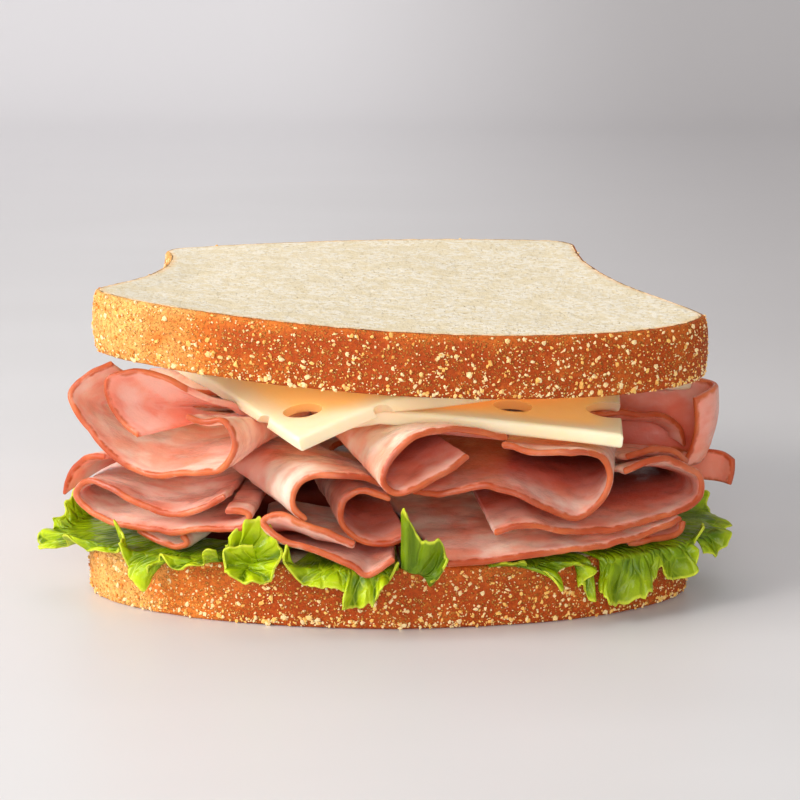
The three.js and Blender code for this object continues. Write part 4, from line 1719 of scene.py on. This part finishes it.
def ham_sheet(
    node: str,
    middle: Surface,
    seed: int | None = None,
    pitch: tuple[float, float] = (0.8, 1.1),
    inner: int = 0,
    rind_all_round: bool = True,
    tone_and_shade: float = 0.0,
) -> Sheet:
    """A slice of ham on a middle surface, with the soft unevenness of its faces.

    Args:
        node: the node that it stands for.
        middle: the middle surface.
        seed: for the unevenness: the name's own without one.
        pitch: the size of its cells.
        inner: the side that lies inside its roll.
        rind_all_round: whether all its edges have rind, or the front one alone.
        tone_and_shade: how much painted shade reddens it.

    Returns:
        The sheet.
    """
    start = name_seed(node) if seed is None else seed

    def relief(places: Grid, side: int) -> Grid:
        """Shallow lumps, a little different on either face."""
        lumps = 0.1 * value_noise(places, 3.0, start + 5 + side)
        return lumps + 0.05 * value_noise(places, 1.5, start + 8 + side)

    return Sheet(
        node, middle, HAM_THICKNESS, HAM_EDGE, pitch, relief, inner, rind_all_round, tone_and_shade
    )


FRONT_FOLDS: tuple[Fold, ...] = (
    Fold(
        "ham_left_channel",
        ((-60.5, 53.6, 9.5), (-66.5, 50.6, 3.6), (-69.6, 46.9), (-65, 39.6), (-60.6, 35.5),
         (-52.9, 31.7), (-44.1, 33), (-35.5, 35.2), (-32.4, 41), (-34.5, 46.2), (-39, 45.4),
         (-42.7, 46.2)),
        16, 37.7, 0.28,
    ),
    Fold(
        "ham_left_taco",
        ((-43.5, 49.4, 9), (-48.2, 52.2, 6), (-55.7, 53.7, 3), (-60.9, 52), (-60.8, 46.9),
         (-57.3, 41.9), (-54, 40)),
        18, 42.2, 0.24, overhang=2, inner_end=-30, tone_and_shade=0.42,
    ),
    Fold(
        "ham_left_roll",
        ((-34.5, 29.8), (-40.5, 26.4), (-46.5, 24.6), (-52.5, 24.9), (-58.7, 27.5), (-65.5, 28.7),
         (-68.6, 24.8), (-61.9, 20.4), (-52, 19.8), (-40, 21.8), (-31, 23.4), (-29.4, 26.6),
         (-34.5, 26.6)),
        3, 22.6, 0.36, overhang=5, tone_and_shade=0.16,
    ),
    Fold(
        "ham_left_flap",
        ((-72.7, 21.8), (-72.1, 24.9), (-70.4, 28.1), (-66.6, 31.8), (-62.5, 32.6)),
        14, 29, 0.4, overhang=-2, inner_end=-12,
    ),
    Fold(
        "ham_low_pleat",
        ((-54.6, 18.8), (-49.2, 16.9), (-45.6, 16.3), (-43.4, 17.4), (-44.6, 19)),
        12, 17.6, 0.8, overhang=3, inner_end=-22,
    ),
    Fold(
        "ham_mid_arch",
        ((2.2, 30.5, 11), (-1.8, 32.1, 7), (-5.8, 34.4, 2.6), (-10.4, 35.6), (-15, 35.2),
         (-19, 32), (-19.8, 28.4), (-17.2, 25.6)),
        -26, 30.4, 0.36, give=1.5, overhang=3, inner=1,
    ),
    Fold(
        "ham_mid_roll",
        ((0.5, 29), (-5.3, 30.6), (-9.3, 28.6), (-9.7, 23.6), (-5.7, 19.8), (-0.5, 19),
         (4.4, 20.6)),
        -9, 23.8, 0.35, give=1.4, overhang=-1.5, inner=1, tone_and_shade=0.25,
    ),
    Fold(
        "ham_front_lip",
        ((-7, 21.4), (-14.4, 24.4), (-22.6, 27.6), (-26.4, 25.6), (-23, 21.9), (-14, 19.2),
         (-7, 16.2), (-4.4, 14.4), (1.3, 18)),
        0, 17.6, 0.36, give=5, overhang=5.5, inner_end=-28, inner=1,
    ),
    Fold(
        "ham_centre_tube",
        ((25.4, 41.2, 8), (18.6, 43.4, 6), (11.7, 44.7, 4), (5.4, 43.6, 1.5), (0.6, 39.4),
         (-0.8, 34.6), (1.4, 31.9), (5.3, 32.6), (11, 35.4, 2), (17, 38.6, 5)),
        -19, 38.6, 0.28, overhang=5, inner=1,
    ),
    Fold(
        "ham_right_upper",
        ((5, 30.2, 7), (11, 31, 3), (19.3, 32.2, 1), (26.3, 30.9), (33.5, 27), (40, 23.9),
         (45, 26.4), (47.4, 31.7), (45.4, 36.8), (40.5, 39), (31.9, 38.9, 2), (24, 39.9, 6)),
        5, 32, 0.28, inner=1,
    ),
    Fold(
        "ham_right_lower",
        ((50.6, 33, 2), (56, 34.8), (62.2, 33.8), (68.3, 28.7), (68.3, 24), (59.5, 21.4),
         (48.2, 20.5), (37.1, 21.7), (29.2, 23.8), (22.4, 22.6)),
        -6, 24.4, 0.33, overhang=5, inner=-1,
    ),
    Fold(
        "ham_front_sheet",
        ((12.5, 16.6), (22.5, 17), (36.5, 17.4), (50, 17.9), (60.2, 19.2), (64, 20.6)),
        -17, 18.4, 0.3, overhang=6,
    ),
    Fold(
        "ham_low_right",
        ((64.9, 19), (64.3, 16.8), (61, 15.6), (56.5, 15.9), (52, 16.2)),
        -6, 16.3, 0.3, overhang=3, inner_end=-20, tone_and_shade=0.4,
    ),
    Fold(
        "ham_far_arch",
        ((42, 39.6), (50, 39.9), (57, 38.9), (63, 37.2), (66.6, 33.6), (67.6, 29.4)),
        -3, 33.6, 0.5, overhang=-19, inner_end=-12, inner=-1, tone_and_shade=0.45,
    ),
    Fold(
        "ham_right_strip",
        ((51.4, 35), (57, 35.4), (62.5, 34.2), (66, 31.2)),
        -4, 30.4, 0.25, overhang=0, inner_end=-20, inner=-1, tone_and_shade=0.3,
    ),
)

STANDING_FOLDS: tuple[StandingFold, ...] = (
    StandingFold(
        "ham_right_flap",
        ((43, -3, 4.5), (51, -6, 2.5), (58, -8.5, 0.6), (66, -10.5, 0), (71.5, -14, 0),
         (73.2, -18.4, 0), (71.4, -22.8, 0.5), (68, -25.2, 1.6)),
        45.2, 27.6, 3.6,
    ),
    StandingFold(
        "ham_right_tip",
        ((66, -12.4, 0.6), (71, -13.6, 0), (76, -15.6, 0), (78.2, -18.4, 1.2)),
        28.6, 21.4, 0.8,
    ),
)


@dataclass
class HamPile:
    """All the folds: those in front, the two that stand at the right, and the rear layers.

    Attributes:
        rear_from: the direction where the rear layers start, in degrees from +X.
        rear_to: where they end.
        loops: how many loops a layer has.
        layers: the layers' heights.
        slit: what is left free at either side of a loop, in degrees.
        stagger: how far each layer is turned against the one below, in degrees.
        draw_seed: where the part's draws start.
    """

    rear_from: float = -8.0
    rear_to: float = 188.0
    loops: int = 5
    layers: tuple[float, ...] = (20.6, 28.8, 36.8)
    slit: float = 2.5
    stagger: float = 1.5
    draw_seed: int = 11

    def rear_folds(self) -> list[RearFold]:
        """The loops behind the shoulders, in layers, with the part's own draws.

        Returns:
            The loops.
        """
        draw = part_draws(self.draw_seed)
        width = (self.rear_to - self.rear_from) / self.loops
        folds = []
        for layer, base in enumerate(self.layers):
            for i in range(self.loops):
                turn = self.rear_from + (i + 0.5) * width + (layer - 1) * self.stagger
                fold = RearFold(
                    node=f"ham_rear_{layer + 1}_{i + 1}",
                    angle=math.radians(turn),
                    half_width=math.radians(width / 2 - self.slit) * PILE_REACH,
                    base=base,
                    mirrored=(i + layer) % 2 == 1,
                    opening=0.6 + 0.2 * draw(),
                    tilt=2.4 * (draw() - 0.5),
                    overhang=1 + 4.5 * draw(),
                )
                folds.append(fold)
        return folds

    def build(self) -> None:
        """Makes and dresses every fold."""
        finish = HamFinish().material()
        for fold in (*FRONT_FOLDS, *STANDING_FOLDS, *self.rear_folds()):
            dress(fold.sheet().build(), finish, Slot.HAM, fold.node)


# ------------------------------------------------------------------ lettuce


@dataclass(frozen=True)
class Leaf:
    """A leaf that lies on the lower slice and hangs its frill over the crust, as in the part.

    Attributes:
        node: the node that it stands for.
        frill: its edge: angle in degrees from +X, reach beyond the crust, height.
        waves: how many ruffles.
        ruffle: how far they swing.
        dip: how far it hangs before the edge turns up again.
        tone_and_shade: how much painted shade darkens it beyond the others, from 0 to 1.
        bed: the height where it lies on the slice.
        inner_reach: how far it runs in under the pile.
        clear: how far it stays off the crust.
        hem: the share of its depth that lies inside the crust.
        crimp_length: the length of a crimp along the edge.
        crimp: how far the crimps swing in and out.
        thickness: of the leaf.
        edge: the radius of its rounded edges.
    """

    node: str
    frill: tuple[tuple[float, float, float], ...]
    waves: float
    ruffle: float = 0.6
    dip: float = 0.0
    tone_and_shade: float = 0.0
    bed: float = 14.7
    inner_reach: float = 13.0
    clear: float = 1.9
    hem: float = 0.42
    crimp_length: float = 6.4
    crimp: float = 0.8
    thickness: float = 0.55
    edge: float = 0.24

    def sheet(self) -> Sheet:
        """The leaf as a sheet. Inward of the crust it lies flat; beyond it, it runs out to the
        frill while its height goes with the square of the way, and small crimps of growing
        height run along the edge, whose outline is nibbled.

        Returns:
            The sheet.
        """
        curve = SmoothCurve(self.frill)
        first, last = self.frill[0][0], self.frill[-1][0]
        seed = name_seed(self.node)

        def middle(u: Grid, v: Grid) -> Grid:
            """The middle surface from under the pile to the frill.

            Args:
                u: shares of the frill's length.
                v: shares of the way outward.

            Returns:
                The places, in mm.
            """
            along = np.stack([u * curve.length, 0 * u, 0 * u], axis=-1)
            nibble = 0.035 * value_noise(along, 1.7, seed)
            nibble = nibble + 0.02 * value_noise(along, 0.8, seed + 1)
            v = v * (1 + nibble * smooth_step(v, 0.6, 1.0))
            edge = curve.at(u)
            inner = np.maximum(1 - v / self.hem, 0)
            outer = np.maximum((v - self.hem) / (1 - self.hem), 0)
            degrees = mix(mix(first, last, u), edge[..., 0], smooth_step(v, 0.55, 1.0))
            angle = np.radians(degrees)
            swing = np.sin(self.waves * 2 * np.pi * u) * self.ruffle * outer**1.5
            out = smooth_step(outer, 0, 0.3) * self.clear
            out = out + np.maximum(edge[..., 1] - self.clear, 0) * outer
            radius = LOAF.edge_radius(angle) - inner * self.inner_reach + out + swing
            drop = (edge[..., 2] - self.bed) * outer**2
            drop = drop - self.dip * np.sin(np.pi * smooth_step(outer, 0.15, 1))
            wander = 3.0 * value_noise(along, 9.0, seed + 2)
            phase = 2 * np.pi * u * curve.length / self.crimp_length + wander
            fine = value_noise(along, 2.1, seed + 3) * smooth_step(outer, 0.78, 1.0)
            crimp = np.sin(phase) * smooth_step(outer, 0.3, 1.0) + 0.5 * fine
            radius = radius + self.crimp * crimp
            z = self.bed + drop + 0.75 * self.crimp * crimp
            return np.stack([radius * np.cos(angle), radius * np.sin(angle), z], axis=-1)

        def relief(places: Grid, side: int) -> Grid:
            """Puckers between the veins: the same shift on both faces."""
            return side * 0.16 * value_noise(places, 2.4, seed + 6)

        pitch = (0.55, 0.7)
        return Sheet(self.node, middle, self.thickness, self.edge, pitch, relief, tone_and_shade=self.tone_and_shade)


LEAVES: tuple[Leaf, ...] = (
    Leaf(
        "lettuce_left",
        ((-162, 2, 23), (-160.3, 6, 20.5), (-159.3, 8, 16.5), (-159.5, 12, 12), (-156.5, 10, 10.5),
         (-153.5, 7, 12.5), (-150.7, 7, 15.8), (-147.5, 5.5, 13.3), (-144.5, 5, 13.5),
         (-142, 3.5, 14.8)),
        3,
    ),
    Leaf(
        "lettuce_fold",
        ((-142.3, 3.5, 20.8), (-139.5, 6, 17.8), (-139, 6, 11), (-136.1, 5.5, 7.2),
         (-136, 4.5, 10), (-133.3, 4, 15.3), (-130.9, 5, 13.1), (-127, 5, 13.8),
         (-125.3, 5, 17.4), (-123.5, 4, 17.8)),
        2,
    ),
    Leaf(
        "lettuce_cluster",
        ((-122.5, 3, 18.6), (-118.8, 3.6, 23.2), (-116.3, 4.2, 26.5), (-114.4, 4.4, 25.2),
         (-111.6, 4.4, 20.8), (-110.4, 6.5, 17.4), (-112.6, 8, 13), (-117.3, 8.6, 13),
         (-119.8, 8.6, 15), (-120.2, 7.8, 18.6), (-117.6, 7.2, 20.2), (-115.6, 6.6, 20.8)),
        2,
    ),
    Leaf(
        "lettuce_front",
        ((-109.7, 4, 20.9), (-109.8, 6, 17.1), (-107.9, 5.5, 13.3), (-104.7, 5.5, 11.6),
         (-99.7, 5.5, 10.7), (-97.9, 5.5, 10.8), (-98.2, 6.5, 7.6), (-95, 6.5, 6.8),
         (-92.2, 5.5, 9.5), (-90, 5, 12.6), (-87.9, 4.5, 16.8)),
        4,
    ),
    Leaf(
        "lettuce_curl",
        ((-87.3, 6.5, 29.2), (-85.8, 6.5, 25.6), (-83, 6.5, 22.9), (-80.1, 6.5, 22),
         (-78.9, 7.2, 18), (-80.2, 7, 14.8), (-82, 6.5, 12.6)),
        1, dip=2.4, tone_and_shade=0.75,
    ),
    Leaf(
        "lettuce_right",
        ((-69.4, 2.5, 15.4), (-62.5, 3.5, 15.2), (-59.4, 4.5, 12.4), (-57.5, 5, 9),
         (-55.8, 3.5, 13), (-53.6, 4.5, 13.9), (-50, 4.5, 13.2), (-52.8, 4.5, 9.8),
         (-50, 4.5, 5.3)),
        3, tone_and_shade=0.35,
    ),
    Leaf(
        "lettuce_right_front",
        ((-48.4, 3.5, 10.2), (-49.3, 6, 4.9), (-46.5, 6, 4.4), (-43.7, 6, 3.2), (-40.6, 5.5, 5.6),
         (-38.3, 4.5, 10.3), (-36.8, 6, 7.6), (-33.2, 6.5, 7.7), (-31.5, 6.5, 13),
         (-28.1, 5, 18.1)),
        3, tone_and_shade=0.4,
    ),
    Leaf(
        "lettuce_right_back",
        ((-27.6, 4, 10), (-25.4, 6.5, 9.8), (-22.5, 9, 13.5), (-19.5, 9.6, 12.5),
         (-16, 13.4, 11.8), (-13.5, 12.8, 14.2), (-10.8, 12.2, 14.6), (-8.6, 12, 17.6),
         (-8.4, 9.5, 19.8), (-5.5, 5.5, 19.5)),
        2, tone_and_shade=0.4,
    ),
    Leaf(
        "lettuce_rear_right",
        ((-2, 5, 13), (8, 6, 9), (20, 5.5, 12.5), (33, 6, 8), (46, 6, 12), (58, 6, 7),
         (70, 5.5, 11), (82, 6, 9)),
        6, ruffle=1.8,
    ),
    Leaf(
        "lettuce_rear_left",
        ((90, 5.5, 10), (104, 6, 7.5), (117, 5.5, 12), (130, 6, 8), (145, 6, 12.5),
         (158, 6, 8), (170, 5.5, 12), (186, 5, 14)),
        6, ruffle=1.8,
    ),
)


@dataclass
class Lettuce:
    """The leaves between the lower slice and the ham."""

    leaves: tuple[Leaf, ...] = LEAVES

    def build(self) -> None:
        """Makes and dresses the leaves."""
        finish = LeafFinish().material()
        for leaf in self.leaves:
            dress(leaf.sheet().build(), finish, Slot.LETTUCE, leaf.node)


# ------------------------------------------------------------------ studio


@dataclass(frozen=True)
class SoftLight:
    """A square studio light.

    Attributes:
        name: its name.
        at: where it hangs, in metres.
        size: its side, in metres.
        power: its power in watts.
        colour: its colour.
        aim: the point that it faces.
    """

    name: str
    at: tuple[float, float, float]
    size: float
    power: float
    colour: Colour = (1.0, 1.0, 1.0)
    aim: tuple[float, float, float] = (0.0, 0.0, 0.03)

    def hang(self) -> None:
        """Puts the light into the scene."""
        light = bpy.data.lights.new(self.name, "AREA")
        light.size, light.energy, light.color = self.size, self.power, self.colour
        lamp = bpy.data.objects.new(self.name, light)
        lamp.location = self.at
        towards = Vector(self.aim) - Vector(self.at)
        lamp.rotation_euler = towards.to_track_quat("-Z", "Y").to_euler()
        lamp.visible_camera = False
        bpy.context.scene.collection.objects.link(lamp)


@dataclass
class Studio:
    """The pale table and backdrop, the lights, and the camera at the photograph's place.

    Attributes:
        camera_at: the camera's place, in metres.
        pitch_down: how far it looks down, in degrees.
        lens: its focal length in mm, on a sensor 36 mm wide.
        sweep_radius: the radius of the bend from table to wall, in mm.
        wall_at: how far the wall stands behind the middle, in mm.
        reach: how far the table and the wall go on, in mm.
        half_span: how far they go to either side, in mm.
        sky_colour: the colour of the light from all around.
        sky_strength: its strength.
        lights: the lamps.
    """

    camera_at: tuple[float, float, float] = (0.0025, -0.529, 0.171)
    pitch_down: float = 14.25
    lens: float = 105.08
    sweep_radius: float = 350.0
    wall_at: float = 1100.0
    reach: float = 2500.0
    half_span: float = 3000.0
    sky_colour: tuple[float, float, float, float] = (0.95, 0.97, 1.0, 1.0)
    sky_strength: float = 0.36
    lights: tuple[SoftLight, ...] = (
        SoftLight("key", (-0.8, -0.32, 0.48), 0.6, 10.5, (1.0, 0.975, 0.945)),
        SoftLight("front", (0.0, -1.2, 0.34), 0.6, 6.6, (1.0, 0.985, 0.965)),
        SoftLight("top", (0.0, 0.2, 0.95), 0.9, 2.2, (1.0, 0.99, 0.98)),
    )

    def build(self) -> None:
        """Sets the stage."""
        self.backdrop()
        for light in self.lights:
            light.hang()
        self.sky()
        self.camera()

    def backdrop(self) -> None:
        """Makes the sweep: a flat table that turns up along a quarter circle into a wall."""
        turn = np.linspace(0.0, np.pi / 2, 24)
        radius, bend = self.sweep_radius, self.wall_at - self.sweep_radius
        y = np.concatenate([[-self.reach, 0.0], bend + radius * np.sin(turn), [self.wall_at]])
        z = np.concatenate([[0.0, 0.0], radius * (1 - np.cos(turn)), [self.reach]])
        x = np.linspace(-self.half_span, self.half_span, 5)
        flat_x, flat_y = np.meshgrid(x, y, indexing="ij")
        points = np.stack([flat_x, flat_y, np.broadcast_to(z, flat_x.shape)], axis=-1)
        index = np.arange(flat_x.size).reshape(flat_x.shape)
        sweep = make_piece("table", points.reshape(-1, 3), [quads(index)])
        sweep.data.materials.append(self.table_finish())

    def table_finish(self) -> bpy.types.Material:
        """The table's colour: a pale grey, with painted shade at the left and far right and
        painted light far away.

        Returns:
            The material.
        """
        bowl = Recipe("table")
        across, away = bowl.part_of(bowl.place, 0), bowl.part_of(bowl.place, 1)
        cloud = bowl.noise(60.0, 2.0, at=bowl.stretch(bowl.place, (0.35, 1.0, 1.0)))
        right = bowl.times(bowl.grade(away, 20.0, 240.0), bowl.grade(across, -90.0, 190.0))
        colour = bowl.blend(cloud, linear(214, 212, 211), linear(226, 224, 224))
        # Painted shade at the left and far right, painted light far away.
        for share, tint in (
            (bowl.grade(across, -20.0, -300.0, 0.0, 0.85), linear(204, 201, 203)),
            (bowl.grade(away, 220.0, 900.0, 0.0, 0.9), linear(246, 243, 245)),
            (bowl.times(right, 0.85), linear(194, 190, 190)),
        ):
            colour = bowl.blend(share, colour, tint)
        return bowl.finish(base_color=colour, roughness=0.42)

    def sky(self) -> None:
        """Fills the shadows with an even pale light."""
        world = bpy.data.worlds.new("studio")
        world.use_nodes = True
        background = world.node_tree.nodes["Background"]
        background.inputs["Color"].default_value = self.sky_colour
        background.inputs["Strength"].default_value = self.sky_strength
        bpy.context.scene.world = world
        bpy.context.scene.view_settings.view_transform = "Standard"

    def camera(self) -> None:
        """Puts the camera where the photograph was taken from."""
        lens = bpy.data.cameras.new("camera")
        lens.lens, lens.sensor_width = self.lens, 36.0
        lens.clip_start, lens.clip_end = 0.01, 20.0
        eye = bpy.data.objects.new("camera", lens)
        eye.location = self.camera_at
        eye.rotation_euler = (math.radians(90.0 - self.pitch_down), 0.0, 0.0)
        bpy.context.scene.collection.objects.link(eye)
        bpy.context.scene.camera = eye


def main() -> None:
    """Builds the studio and the sandwich."""
    logging.basicConfig(level=logging.INFO, format="%(message)s")
    for part in (Studio(), Bread(), Cheese(), HamPile(), Lettuce()):
        LOG.info("building %s", type(part).__name__)
        part.build()


if __name__ == "__main__":
    main()
